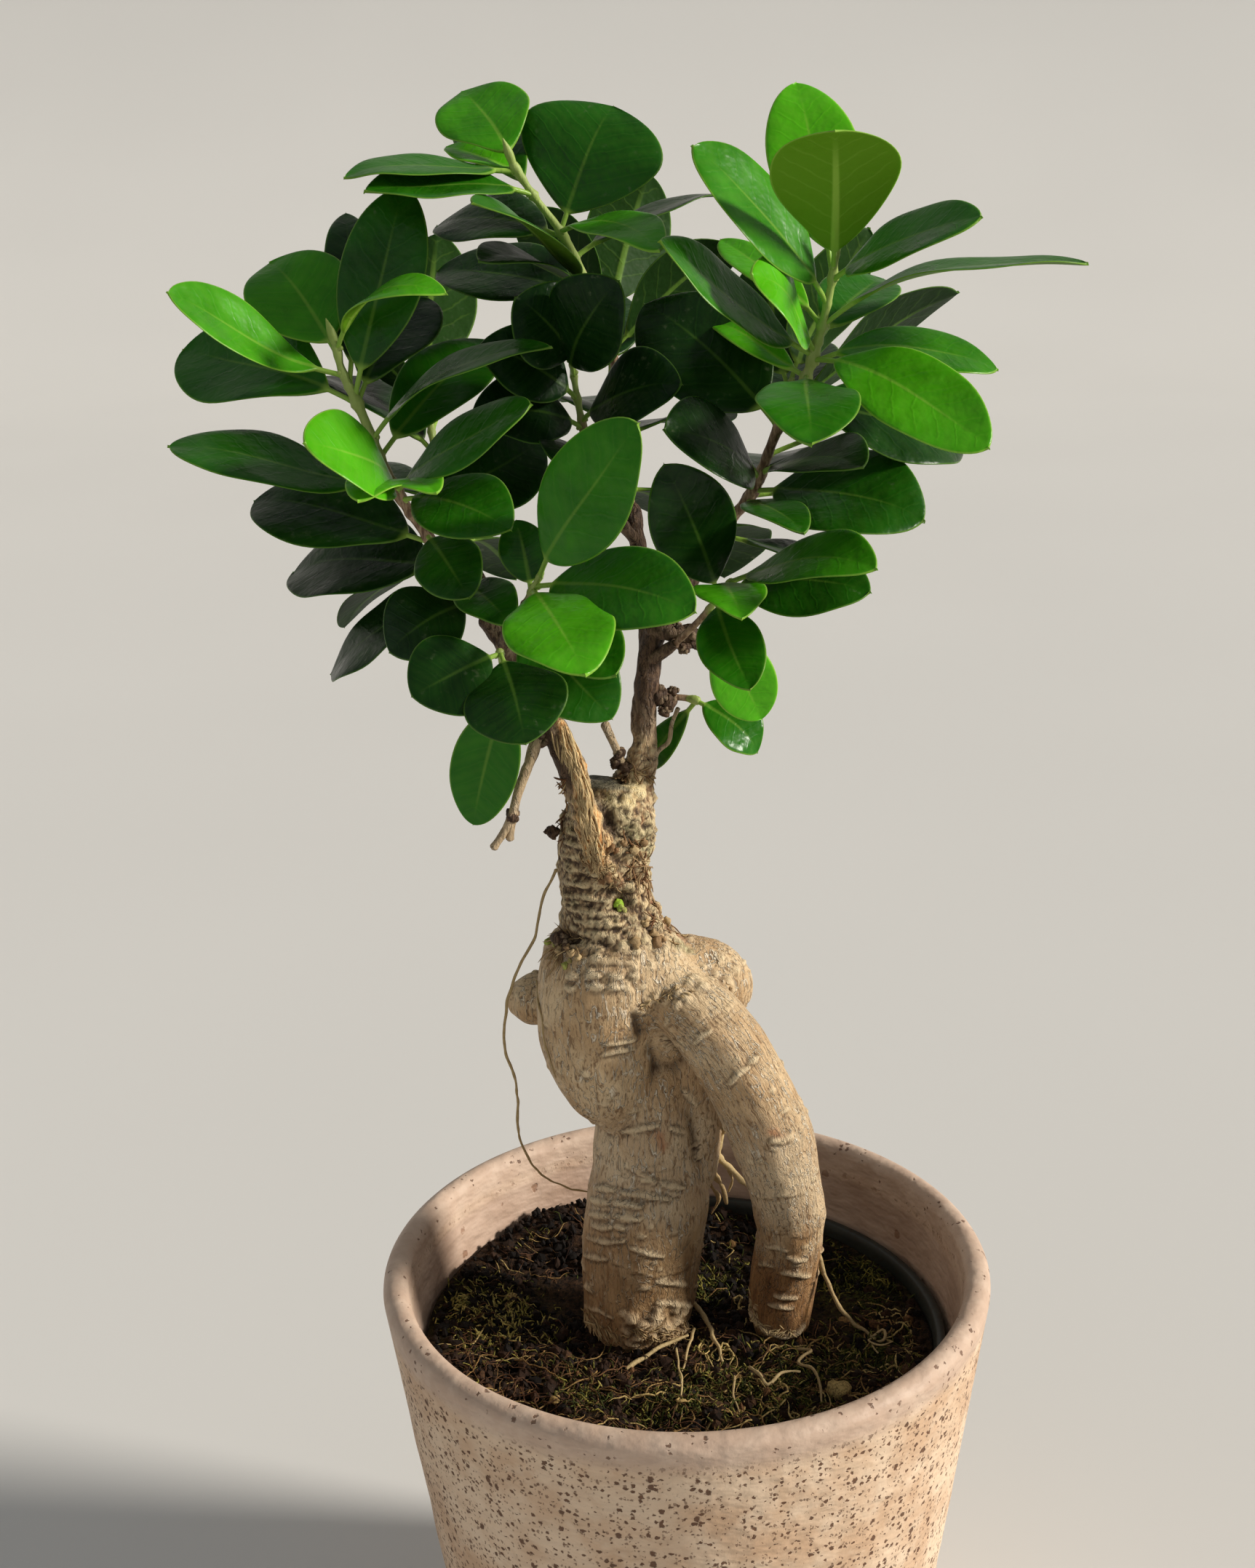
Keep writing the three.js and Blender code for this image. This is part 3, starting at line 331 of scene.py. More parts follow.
# Buds and dry flakes on the bark: point of the picture, radius, greenness and tone
TUFTS = [
    (848, 1242, 0.95, 1, 1), (853, 1249, 0.75, 0.7, 0.8), (858, 1252, 0.6, 0.4, 0.7),
    (756, 1296, 1.0, 0.7, 0.9), (764, 1300, 0.8, 0.4, 0.7), (772, 1290, 1.1, 0, 0.55),
    (778, 1284, 0.9, 0, 0.4), (770, 1308, 1.0, 0, 0.6), (782, 1304, 0.8, 0, 0.3), (787, 1310, 0.9, 0, 0.6),
    (796, 1317, 0.8, 0, 0.7), (778, 1328, 0.8, 0.5, 0.6), (784, 1322, 0.6, 0.2, 0.5),
    (872, 1296, 1.1, 0, 0.5), (902, 1298, 1.2, 0, 0.25),
    (908, 1292, 0.9, 0, 0.3), (896, 1286, 1.0, 0, 0.5), (884, 1270, 0.9, 0, 0.6), (914, 1268, 0.9, 0, 0.7),
    (868, 1170, 0.9, 0, 0.7), (856, 1160, 0.7, 0, 0.3), (836, 1206, 0.9, 0, 0.15), (828, 1210, 0.8, 0, 0.1),
    (882, 1158, 0.8, 0, 0.3), (838, 1166, 0.9, 0, 0.15), (846, 1170, 0.8, 0, 0.1),
]
# A root thread that hugs the body: points of the picture
CLINGING_THREAD = [(762, 1199), (750, 1228), (743, 1253), (739, 1280), (737, 1302), (739, 1350),
                   (745, 1397), (753, 1440), (765, 1480)]
# Dark knots on the branches: centre, radius
KNOTS = [
    ((0.6, 3.6, 275.4), 1.9), ((2.6, 3.8, 274.2), 2.4), ((4.4, 3.6, 273), 1.5), ((2.2, 2.2, 272.6), 1.4),
    ((3.6, 4.8, 275.6), 1.2), ((-3.2, 4.4, 261.4), 2), ((-1.4, 4.6, 259.6), 1.8), ((-2.6, 3.4, 258), 1.3),
    ((-0.4, 5.6, 261.6), 1.2), ((-12.2, 1, 249.2), 1.3), ((-13.2, 1, 247), 1.2), ((-10.8, 0, 246), 1.5),
    ((-28.6, -9.6, 256.6), 1.9), ((-34.8, -13.8, 240.8), 1.4), ((-42.7, -16.8, 295.6), 1.7),
    ((-27.4, -4, 233), 1.4), ((-26.2, -6.4, 209.4), 1.6), ((-24.6, -8.2, 208), 1.3),
]
# Where rings run round the legs, by the length along each
MAIN_LEG_RINGS = (30, 52, 61, 74)
RIGHT_LEG_RINGS = (14, 27, 41, 58, 70, 79, 88)
# Heights on the trunk: the swollen part with its scars, the wrinkles round the neck and the neck's crust
SCARRED, WRINKLED, CRUSTED = (106, 202), (206, 236), (203, 245)
# How many scars the back and the front have, and how many wrinkles and warts the neck
BACK_SCARS, FRONT_SCARS, BACK_WRINKLES, CRUST_WARTS = 75, 60, 34, 300
# The size of the trunk's mesh, and how many points a shred of bark has
TRUNK_CELL = 0.58
SHRED_POINTS = 7
# Light: the strengths of the sky, the sun and the fill, and how wide the sun is in radians
SKY, SUN, FILL = 0.27, 4.4, 1.1
SUN_WIDTH = 0.2


# Numbers
PERMUTED = np.random.default_rng(3).permutation(256)
LEVELS = np.random.default_rng(5).uniform(-1, 1, 256)


def smoothstep(low, high, value):
    part = np.clip((np.asarray(value, float) - low) / (high - low), 0, 1)
    return part * part * (3 - 2 * part)


def noise(points, size, seed=0):
    """Smooth noise from -1 to 1, with lumps of about the given size"""
    points = np.asarray(points, float) / size + seed * 17.3
    cell = np.floor(points).astype(int)
    part = points - cell
    part = part * part * (3 - 2 * part)
    total = np.zeros(len(points))
    for corner in np.ndindex(2, 2, 2):
        x, y, z = ((cell + corner) & 255).T
        level = LEVELS[PERMUTED[(PERMUTED[(PERMUTED[x] + y) & 255] + z) & 255]]
        total += level * np.prod(np.where(np.array(corner) == 1, part, 1 - part), axis=1)
    return total


def rough(points, size, layers=3, seed=0):
    return sum(noise(points, size / 2 ** i, seed + i) / 2 ** i for i in range(layers))


def unit(vectors):
    vectors = np.asarray(vectors, float)
    return vectors / np.maximum(np.linalg.norm(vectors, axis=-1, keepdims=True), 1e-12)


def spline(rows, at):
    """Rows of a centripetal Catmull-Rom curve at the given parts of its parameter"""
    rows = np.asarray(rows, float)
    spans = len(rows) - 1
    padded = np.vstack([2 * rows[0] - rows[1], rows, 2 * rows[-1] - rows[-2]])
    at = np.clip(np.asarray(at, float), 0, 1) * spans
    i = np.minimum(at.astype(int), spans - 1)
    w = (at - i)[:, None]
    a, b, c, d = padded[i], padded[i + 1], padded[i + 2], padded[i + 3]
    ab, bc, cd = (np.sqrt(np.linalg.norm((q - p)[:, :3], axis=1))[:, None]
                  for p, q in ((a, b), (b, c), (c, d)))
    start = ((b - a) / ab - (c - a) / (ab + bc) + (c - b) / bc) * bc
    end = ((c - b) / bc - (d - b) / (bc + cd) + (d - c) / cd) * bc
    return (b + start * w + (-3 * b + 3 * c - 2 * start - end) * w ** 2
            + (2 * b - 2 * c + start + end) * w ** 3)


def even_line(rows, step):
    """Rows of the curve about a step apart, and each one's part of the whole length"""
    fine = spline(rows, np.linspace(0, 1, 40 * len(rows)))
    run = np.concatenate([[0], np.cumsum(np.linalg.norm(np.diff(fine[:, :3], axis=0), axis=1))])
    parts = np.linspace(0, 1, max(3, int(run[-1] / step) + 2))
    return np.stack([np.interp(parts * run[-1], run, column) for column in fine.T], 1), parts


# Shapes
def carried(points):
    """Two unit vectors across a line at each of its points, without twist"""
    tangents = unit(np.gradient(points, axis=0))
    normal = np.array([1, 0.2, 0])
    normals = []
    for tangent in tangents:
        normal = unit(normal - tangent * (normal @ tangent))
        normals.append(normal)
    normals = np.array(normals)
    return normals, np.cross(tangents, normals), tangents


def skin(rings):
    """Points and faces of a closed body through rings (m, k, 3), with a fan over each end"""
    m, k = rings.shape[:2]
    index = np.arange(m * k).reshape(m, k)
    ahead = np.roll(index, -1, 1)
    quads = np.stack([index[:-1], ahead[:-1], ahead[1:], index[1:]], -1).reshape(-1, 4)
    first = np.stack([ahead[0], index[0], np.full(k, m * k)], 1)
    last = np.stack([index[-1], ahead[-1], np.full(k, m * k + 1)], 1)
    points = np.vstack([rings.reshape(-1, 3), rings[0].mean(0), rings[-1].mean(0)])
    return points, [quads, np.vstack([first, last])]


def tube(line, radii, sides=10, dome=0.6):
    """A round body along a line with rounded ends"""
    line, radii = np.asarray(line, float), np.asarray(radii, float)
    normals, across, tangents = carried(line)
    turn = np.linspace(0, 2 * math.pi, sides, endpoint=False)
    caps = ((0.3, 1.0), (0.75, 0.65))
    head = [(line[0] - tangents[0] * radii[0] * dome * out, radii[0] * size, 0)
            for size, out in caps]
    tail = [(line[-1] + tangents[-1] * radii[-1] * dome * out, radii[-1] * size, len(line) - 1)
            for size, out in reversed(caps)]
    stations = head + [(p, r, i) for i, (p, r) in enumerate(zip(line, radii))] + tail
    rings = np.array([p + r * (np.cos(turn)[:, None] * normals[i] + np.sin(turn)[:, None] * across[i])
                      for p, r, i in stations])
    return skin(rings)


def limb(rows, sides, step=1.2, dome=0.6):
    line, _ = even_line(rows, step)
    return tube(line[:, :3], line[:, 3], sides, dome)


def strands(lines, radii, sides=4):
    """Many thin tapered tubes at once, along lines (n, m, 3) with one radius each"""
    lines = np.asarray(lines, float)
    n, m = lines.shape[:2]
    tangents = unit(np.gradient(lines, axis=1))
    normals = unit(np.cross(tangents, [0.31, 0.22, 0.92]))
    across = np.cross(tangents, normals)
    taper = np.minimum(1, 0.15 + 4 * np.minimum(np.linspace(0, 1, m), np.linspace(1, 0, m)))
    size = np.asarray(radii, float)[:, None, None, None] * taper[None, :, None, None]
    turn = np.linspace(0, 2 * math.pi, sides, endpoint=False)[None, None, :, None]
    round_it = np.cos(turn) * normals[:, :, None] + np.sin(turn) * across[:, :, None]
    rings = lines[:, :, None] + size * round_it
    index = np.arange(n * m * sides).reshape(n, m, sides)
    ahead = np.roll(index, -1, 2)
    quads = np.stack([index[:, :-1], ahead[:, :-1], ahead[:, 1:], index[:, 1:]], -1).reshape(-1, 4)
    return rings.reshape(-1, 3), [quads]


def ball(centre, radius, seed, rings=9, sides=12, lumps=0.35, squash=1.0):
    """A lumpy ball"""
    tilt = np.linspace(0.12, math.pi - 0.12, rings)[:, None]
    turn = np.linspace(0, 2 * math.pi, sides, endpoint=False)[None]
    way = np.stack([np.sin(tilt) * np.cos(turn), np.sin(tilt) * np.sin(turn),
                    -np.cos(tilt) * np.ones_like(turn)], -1)
    size = 1 + lumps * noise(way.reshape(-1, 3) * 1.6 + seed, 1, seed).reshape(rings, sides, 1)
    return skin(np.array(centre) + way * size * radius * np.array([1, 1, squash]))


class Pile:
    """Points, faces, materials and marks of many bodies that make one piece"""

    def __init__(self):
        self.points, self.faces, self.looks, self.marks, self.count = [], [], [], {}, 0

    def add(self, body, look=0, **marks):
        points, faces = body
        for face in faces:
            self.faces.append(np.asarray(face) + self.count)
            self.looks.append(np.full(len(face), look))
        for key, value in marks.items():
            value = np.asarray(value, float)
            if value.ndim == 0:
                value = np.full(len(points), float(value))
            self.marks.setdefault(key, []).append((self.count, value))
        self.points.append(points)
        self.count += len(points)

    def make(self, name, looks, replaces=(), smooth=True):
        points = np.vstack(self.points) * MM
        corners = np.concatenate([face.ravel() for face in self.faces])
        sizes = np.concatenate([np.full(len(face), face.shape[1]) for face in self.faces])
        mesh = bpy.data.meshes.new(name)
        mesh.vertices.add(len(points))
        mesh.vertices.foreach_set("co", points.astype(np.float32).ravel())
        mesh.loops.add(len(corners))
        mesh.loops.foreach_set("vertex_index", corners.astype(np.int32))
        mesh.polygons.add(len(sizes))
        mesh.polygons.foreach_set("loop_start", (np.cumsum(sizes) - sizes).astype(np.int32))
        for look in looks:
            mesh.materials.append(look)
        mesh.polygons.foreach_set("material_index", np.concatenate(self.looks).astype(np.int32))
        mesh.update(calc_edges=True)
        mesh.validate()
        mesh.polygons.foreach_set("use_smooth", np.full(len(mesh.polygons), smooth))
        for key, parts in self.marks.items():
            wide = parts[0][1].ndim == 2
            values = np.zeros((self.count, 3) if wide else self.count, np.float32)
            for start, value in parts:
                values[start:start + len(value)] = value
            mark = mesh.attributes.new(key, "FLOAT_VECTOR" if wide else "FLOAT", "POINT")
            mark.data.foreach_set("vector" if wide else "value", values.ravel())
        piece = bpy.data.objects.new(name, mesh)
        scene.collection.objects.link(piece)
        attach(piece, "root")
        if replaces:
            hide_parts(*replaces)
        return piece


# Camera
def camera_axes():
    yaw, pitch, roll = CAMERA_YAW, CAMERA_PITCH, CAMERA_ROLL
    ahead = np.array([math.sin(yaw) * math.cos(pitch), math.cos(yaw) * math.cos(pitch), -math.sin(pitch)])
    right = np.array([math.cos(yaw), -math.sin(yaw), 0])
    up = np.cross(right, ahead)
    return (math.cos(roll) * right + math.sin(roll) * up,
            -math.sin(roll) * right + math.cos(roll) * up, ahead)


RIGHT, UP, AHEAD = camera_axes()


def sight(x, y):
    """The direction from the camera through a point of the picture"""
    return unit(AHEAD * FOCUS_PIXELS + RIGHT * (x - PICTURE[0] / 2) - UP * (y - PICTURE[1] / 2))


def place_camera():
    lens = bpy.data.cameras.new("camera")
    lens.sensor_width = 36
    lens.lens = 36 * FOCUS_PIXELS / PICTURE[1]
    lens.clip_start = 0.01
    eye = bpy.data.objects.new("camera", lens)
    scene.collection.objects.link(eye)
    turn = Matrix((RIGHT, UP, -AHEAD)).transposed()
    eye.matrix_world = Matrix.Translation(Vector(CAMERA_PLACE) * MM) @ turn.to_4x4()
    scene.camera = eye


place_camera()


# Materials
def tint(red, green, blue):
    """A colour given as 0 to 255 on a screen"""
    return tuple(((c / 255 + 0.055) / 1.055) ** 2.4 if c > 10 else c / 255 / 12.92
                 for c in (red, green, blue)) + (1.0,)


class Look:
    """A node material around one principled shader; lengths in it are millimetres"""

    def __init__(self, name, roughness, **sockets):
        self.material = bpy.data.materials.new(name)
        self.material.use_nodes = True
        self.tree = self.material.node_tree
        self.shader = self.tree.nodes["Principled BSDF"]
        self.put(self.shader.inputs["Roughness"], roughness)
        for key, value in sockets.items():
            self.put(self.shader.inputs[key.replace("_", " ")], value)
        coordinates = self.add("TexCoord").outputs["Object"]
        self.place = self.scaled(coordinates, (1000, 1000, 1000))

    def add(self, kind, **settings):
        node = self.tree.nodes.new("ShaderNode" + kind)
        for key, value in settings.items():
            setattr(node, key, value)
        return node

    def put(self, socket, value):
        if isinstance(value, bpy.types.NodeSocket):
            self.tree.links.new(value, socket)
        else:
            socket.default_value = value

    def operate(self, kind, operation, a, b):
        node = self.add(kind, operation=operation)
        self.put(node.inputs[0], a)
        self.put(node.inputs[1], b)
        return node.outputs[0]

    def scaled(self, vector, by):
        return self.operate("VectorMath", "MULTIPLY", vector, by)

    def shifted(self, vector, by):
        return self.operate("VectorMath", "ADD", vector, by)

    def mark(self, name, output="Fac"):
        return self.add("Attribute", attribute_name=name).outputs[output]

    def split(self, vector):
        node = self.add("SeparateXYZ")
        self.put(node.inputs[0], vector)
        return node.outputs

    def math(self, operation, a, b=0.0):
        return self.operate("Math", operation, a, b)

    def times(self, a, b):
        return self.math("MULTIPLY", a, b)

    def plus(self, a, b):
        return self.math("ADD", a, b)

    def minus(self, a, b):
        return self.math("SUBTRACT", a, b)

    def larger(self, a, b):
        return self.math("MAXIMUM", a, b)

    def noise(self, size, vector=None, detail=3.0, rough=0.55, warp=0.0, output="Fac"):
        node = self.add("TexNoise")
        self.put(node.inputs["Vector"], self.place if vector is None else vector)
        self.put(node.inputs["Scale"], 1 / size)
        self.put(node.inputs["Detail"], detail)
        self.put(node.inputs["Roughness"], rough)
        self.put(node.inputs["Distortion"], warp)
        return node.outputs[output]

    def cells(self, size, vector, output="Distance"):
        node = self.add("TexVoronoi")
        self.put(node.inputs["Vector"], vector)
        self.put(node.inputs["Scale"], 1 / size)
        return node.outputs[output]

    def ramp(self, value, low, high, start=0.0, end=1.0):
        node = self.add("MapRange", interpolation_type="SMOOTHSTEP")
        for i, item in enumerate((value, low, high, start, end)):
            self.put(node.inputs[i], item)
        return node.outputs[0]

    def mix(self, part, a, b):
        node = self.add("Mix", data_type="RGBA")
        self.put(node.inputs[0], part)
        self.put(node.inputs[6], a)
        self.put(node.inputs[7], b)
        return node.outputs[2]

    def between(self, value, low, high, a, b):
        """A colour that runs from a to b as the value runs from low to high"""
        return self.mix(self.ramp(value, low, high), a, b)

    def bumps(self, *layers):
        """Height layers of (height socket, millimetres)"""
        normal = None
        for height, depth in layers:
            node = self.add("Bump")
            self.put(node.inputs["Strength"], 1.0)
            self.put(node.inputs["Distance"], depth * MM)
            self.put(node.inputs["Height"], height)
            if normal is not None:
                self.put(node.inputs["Normal"], normal)
            normal = node.outputs[0]
        self.put(self.shader.inputs["Normal"], normal)

    def colour(self, value):
        self.put(self.shader.inputs["Base Color"], value)


def leaf_look(name, dark, middle, bright, under_dark, under_bright, gloss):
    look = Look(name, 0.34, Specular_IOR_Level=gloss, Subsurface_Weight=0.1,
                Subsurface_Radius=(0.3, 1.0, 0.15), Subsurface_Scale=0.0012)
    across, along, half = look.split(look.mark("blade", "Vector"))
    tone, seed, under = look.split(look.mark("tint", "Vector"))
    edge = look.mark("edge")
    off_middle = look.times(look.math("ABSOLUTE", across), half)
    mottle = look.noise(8, detail=3)
    fine = look.noise(0.8, detail=2)
    # a leaf's tone, mottled; low values stand partly for old leaves and partly for painted shade
    age_and_shade = look.plus(tone, look.times(look.minus(mottle, 0.5), 0.34))
    base = look.between(age_and_shade, 0.0, 0.5, dark, middle)
    base = look.between(age_and_shade, 0.45, 1.0, base, bright)
    # side veins run out and forward from the midrib
    slant = look.minus(look.times(along, 7.5), look.times(off_middle, 0.17))
    wander = look.times(look.noise(5, detail=2), 0.7)
    phase = look.math("FRACT", look.plus(look.plus(slant, wander), seed))
    near = look.math("ABSOLUTE", look.minus(phase, 0.5))
    vein = look.ramp(near, 0.0, 0.1, 1.0, 0.0)
    vein = look.times(vein, look.ramp(edge, 0.8, 2.5))
    band = look.ramp(near, 0.1, 0.5)
    # midrib, narrower towards the tip and wider below
    reach = look.minus(look.ramp(under, 0.35, 0.65, 0.5, 0.85), look.times(along, 0.35))
    rib = look.ramp(look.minus(off_middle, reach), -0.3, 0.2, 1.0, 0.0)
    rib = look.times(rib, look.ramp(along, 0.98, 0.55))
    pale = look.mix(tone, tint(84, 122, 44), tint(172, 208, 84))
    under_colour = look.mix(tone, under_dark, under_bright)
    upper = look.mix(look.times(band, 0.035), base, pale)
    upper = look.mix(look.times(vein, 0.04), upper, pale)
    upper = look.mix(look.times(rib, 0.3), upper, pale)
    lower = look.mix(look.times(vein, 0.14), under_colour, pale)
    lower = look.mix(look.times(rib, 0.7), lower, pale)
    colour = look.between(under, 0.35, 0.65, upper, lower)
    # the pale rim is partly the margin's own paler colour and partly a painted highlight along the edge
    rim = look.ramp(edge, 0.1, 0.45, 1.0, 0.0)
    colour = look.mix(look.times(rim, 0.5), colour, pale)
    stalk = look.ramp(along, 0.0, 0.05, 1.0, 0.0)
    colour = look.mix(look.times(stalk, 0.9), colour, tint(142, 176, 74))
    dust = look.times(look.ramp(look.noise(1.6, detail=5), 0.56, 0.76), look.ramp(mottle, 0.48, 0.66))
    colour = look.mix(look.times(dust, look.ramp(tone, 0.6, 0.0, 0.03, 0.5)), colour, tint(112, 120, 92))
    look.colour(colour)
    sheen = look.ramp(mottle, 0.3, 0.75, 0.26, 0.4)
    look.put(look.shader.inputs["Roughness"], look.ramp(under, 0.35, 0.65, sheen, 0.58))
    look.bumps((look.noise(3.4, detail=2), 0.3), (vein, 0.025), (fine, 0.02))
    return look.material


def stem_look():
    look = Look("stem", 0.5, Specular_IOR_Level=0.35)
    wood = look.mark("wood")
    streaks = look.noise(0.8, look.scaled(look.place, (1, 1, 0.25)), detail=4)
    green = look.mix(look.noise(3), tint(128, 150, 66), tint(170, 186, 106))
    brown = look.between(streaks, 0.35, 0.7, tint(96, 68, 46), tint(178, 150, 120))
    part = look.ramp(look.plus(wood, look.times(look.minus(streaks, 0.5), 0.5)), 0.35, 0.65)
    look.colour(look.mix(part, green, brown))
    look.bumps((streaks, 0.25))
    return look.material


def bark_look():
    look = Look("bark", 0.64, Specular_IOR_Level=0.3)
    leg, torn, raised, hollow, wood, wound, rust, lichen, neck, dark, cut = (
        look.mark(name) for name in ("leg", "torn", "raised", "hollow", "wood", "wound", "rust", "lichen",
                                     "neck", "dark", "cut"))
    # patterns are moved by noise, so that they lose their straight edges
    drift = look.scaled(look.noise(1 / 0.3, detail=2, rough=0.5, output="Color"), (1.6, 1.6, 1.6))
    straight = look.shifted(look.scaled(look.place, (1, 1, 0.24)), drift)
    bent = look.shifted(look.mark("grain", "Vector"), drift)

    def grained(size, finer=1.0, **more):
        """Noise drawn out along the members, finer on the right leg"""
        return look.mix(leg, look.noise(size, straight, **more), look.noise(size * finer, bent, **more))

    wrinkle = grained(0.8, 0.8, detail=4, rough=0.62, warp=0.3)
    wide = grained(2.8, detail=3)
    crest = look.math("ABSOLUTE", look.minus(grained(1.7, 0.62, detail=2, rough=0.4), 0.5))
    crest = look.ramp(crest, 0.0, 0.036, 1.0, 0.0)
    crest = look.times(crest, look.ramp(look.noise(6, detail=2), 0.38, 0.58, 0.2, 1.0))
    blotch = look.noise(13, detail=4)
    patch = look.noise(5, detail=3)
    pores = look.noise(0.6, detail=3)
    z = look.split(look.place)[2]
    tan = look.between(blotch, 0.35, 0.66, tint(190, 157, 116), tint(217, 190, 150))
    grey = look.times(look.ramp(z, 176, 160), look.ramp(z, 132, 144))
    tan = look.mix(look.times(grey, 0.2), tan, tint(204, 192, 170))
    tan = look.mix(look.ramp(patch, 0.56, 0.7, 0.0, 0.5), tan, tint(188, 154, 112))
    # painted shade in the wrinkles' grooves, where the bump is low
    tan = look.mix(look.ramp(wrinkle, 0.49, 0.35, 0.0, 0.85), tan, tint(124, 94, 64))
    tan = look.mix(look.times(crest, 0.8), tan, tint(242, 230, 206))
    # the feet are stained by the soil
    sway = look.plus(look.times(look.minus(blotch, 0.5), 40), look.times(look.minus(patch, 0.5), 22))
    stain = look.plus(sway, z)
    low = look.between(wide, 0.3, 0.7, tint(132, 96, 58), tint(176, 142, 100))
    low = look.mix(look.times(crest, 0.4), low, tint(206, 182, 144))
    low_leg = look.between(wide, 0.3, 0.7, tint(122, 80, 44), tint(168, 122, 74))
    colour = look.mix(look.ramp(stain, 146, 114, 0.0, 0.85), tan, look.mix(leg, low, low_leg))
    # the neck is crusted, brown and grey-green in patches
    crumbs = look.between(look.noise(1.3, detail=4), 0.38, 0.6, tint(74, 48, 28), tint(182, 150, 108))
    moss = look.mix(look.ramp(look.noise(3.6, detail=3), 0.56, 0.7, 0.0, 0.7), crumbs, tint(120, 114, 72))
    colour = look.mix(look.times(neck, 0.85), colour, moss)
    branch = look.between(wrinkle, 0.36, 0.62, tint(104, 82, 60), tint(172, 150, 122))
    branch = look.mix(look.ramp(look.noise(4, detail=3), 0.5, 0.66, 0.0, 0.6), branch, tint(124, 92, 64))
    # the dark mark: painted shade on the left branch's left side, and darker knots, twigs and upper branches
    shade = look.between(wrinkle, 0.36, 0.62, tint(58, 40, 28), tint(104, 80, 60))
    branch = look.mix(dark, branch, shade)
    colour = look.mix(wood, colour, branch)
    rusty = look.mix(look.noise(1.6, detail=3), tint(150, 92, 58), tint(198, 148, 108))
    colour = look.mix(look.times(rust, 0.8), colour, rusty)
    grown = look.between(look.noise(0.9, detail=3), 0.35, 0.62, tint(92, 88, 56), tint(194, 188, 142))
    colour = look.mix(look.times(lichen, 0.75), colour, grown)
    fibrous = look.noise(0.5, straight, detail=3)
    shreds = look.between(fibrous, 0.36, 0.62, tint(198, 134, 70), tint(250, 212, 152))
    colour = look.mix(torn, colour, shreds)
    # pale scars, warts and crumbs; on the neck's crumbs the pale tops are partly a painted highlight
    pale = look.mix(neck, tint(226, 204, 166), tint(226, 206, 162))
    colour = look.mix(look.times(raised, 0.8), colour, pale)
    colour = look.mix(cut, colour, look.between(patch, 0.4, 0.6, tint(96, 92, 74), tint(140, 130, 106)))
    # painted shade in hollows and creases, under the scars and over the knots
    colour = look.mix(look.times(hollow, 0.88), colour, tint(50, 31, 18))
    fresh = look.mix(look.noise(1.2, detail=2), tint(222, 184, 112), tint(252, 240, 200))
    colour = look.mix(wound, colour, fresh)
    look.colour(colour)
    look.bumps((wide, 0.4), (wrinkle, 0.8), (crest, 0.4), (pores, 0.12))
    return look.material


def root_look():
    """Thin roots and shreds of bark: tone runs from brown to cream, green marks the buds"""
    look = Look("root_skin", 0.7, Specular_IOR_Level=0.25)
    tone, green = look.mark("tone"), look.mark("green")
    streaks = look.noise(0.7, detail=3)
    pale = look.mix(streaks, tint(168, 138, 92), tint(226, 204, 156))
    brown = look.mix(streaks, tint(70, 42, 24), tint(134, 90, 54))
    bud = look.mix(streaks, tint(104, 140, 30), tint(168, 200, 66))
    look.colour(look.mix(green, look.mix(tone, brown, pale), bud))
    look.bumps((streaks, 0.2))
    return look.material


def soil_look():
    look = Look("soil", 0.92, Specular_IOR_Level=0.15)
    green = look.mark("green")
    lumps = look.noise(1.5, detail=5, rough=0.7)
    earth = look.between(lumps, 0.36, 0.66, tint(16, 11, 8), tint(66, 46, 31))
    flecks = look.ramp(look.noise(0.55, detail=2), 0.66, 0.74)
    earth = look.mix(look.times(flecks, 0.5), earth, tint(134, 102, 66))
    mossy = look.between(look.noise(1.1, detail=4), 0.35, 0.65, tint(26, 26, 12), tint(84, 84, 34))
    look.colour(look.mix(look.times(green, look.ramp(look.noise(3, detail=3), 0.3, 0.6)), earth, mossy))
    look.bumps((lumps, 1.0), (look.noise(0.4, detail=3), 0.3))
    return look.material


def litter_look(name, shades):
    """Crumbs, fibres and moss, coloured by their tone from the first shade to the last"""
    look = Look(name, 0.85, Specular_IOR_Level=0.2)
    tone = look.mark("tone")
    colour = shades[0]
    last = len(shades) - 1
    for i in range(last):
        colour = look.between(tone, i / last, (i + 1) / last, colour, shades[i + 1])
    speck = look.noise(0.5, detail=3)
    colour = look.mix(look.ramp(speck, 0.6, 0.35, 0.0, 0.6), colour, tint(24, 16, 10))
    look.colour(colour)
    look.bumps((speck, 0.15))
    return look.material


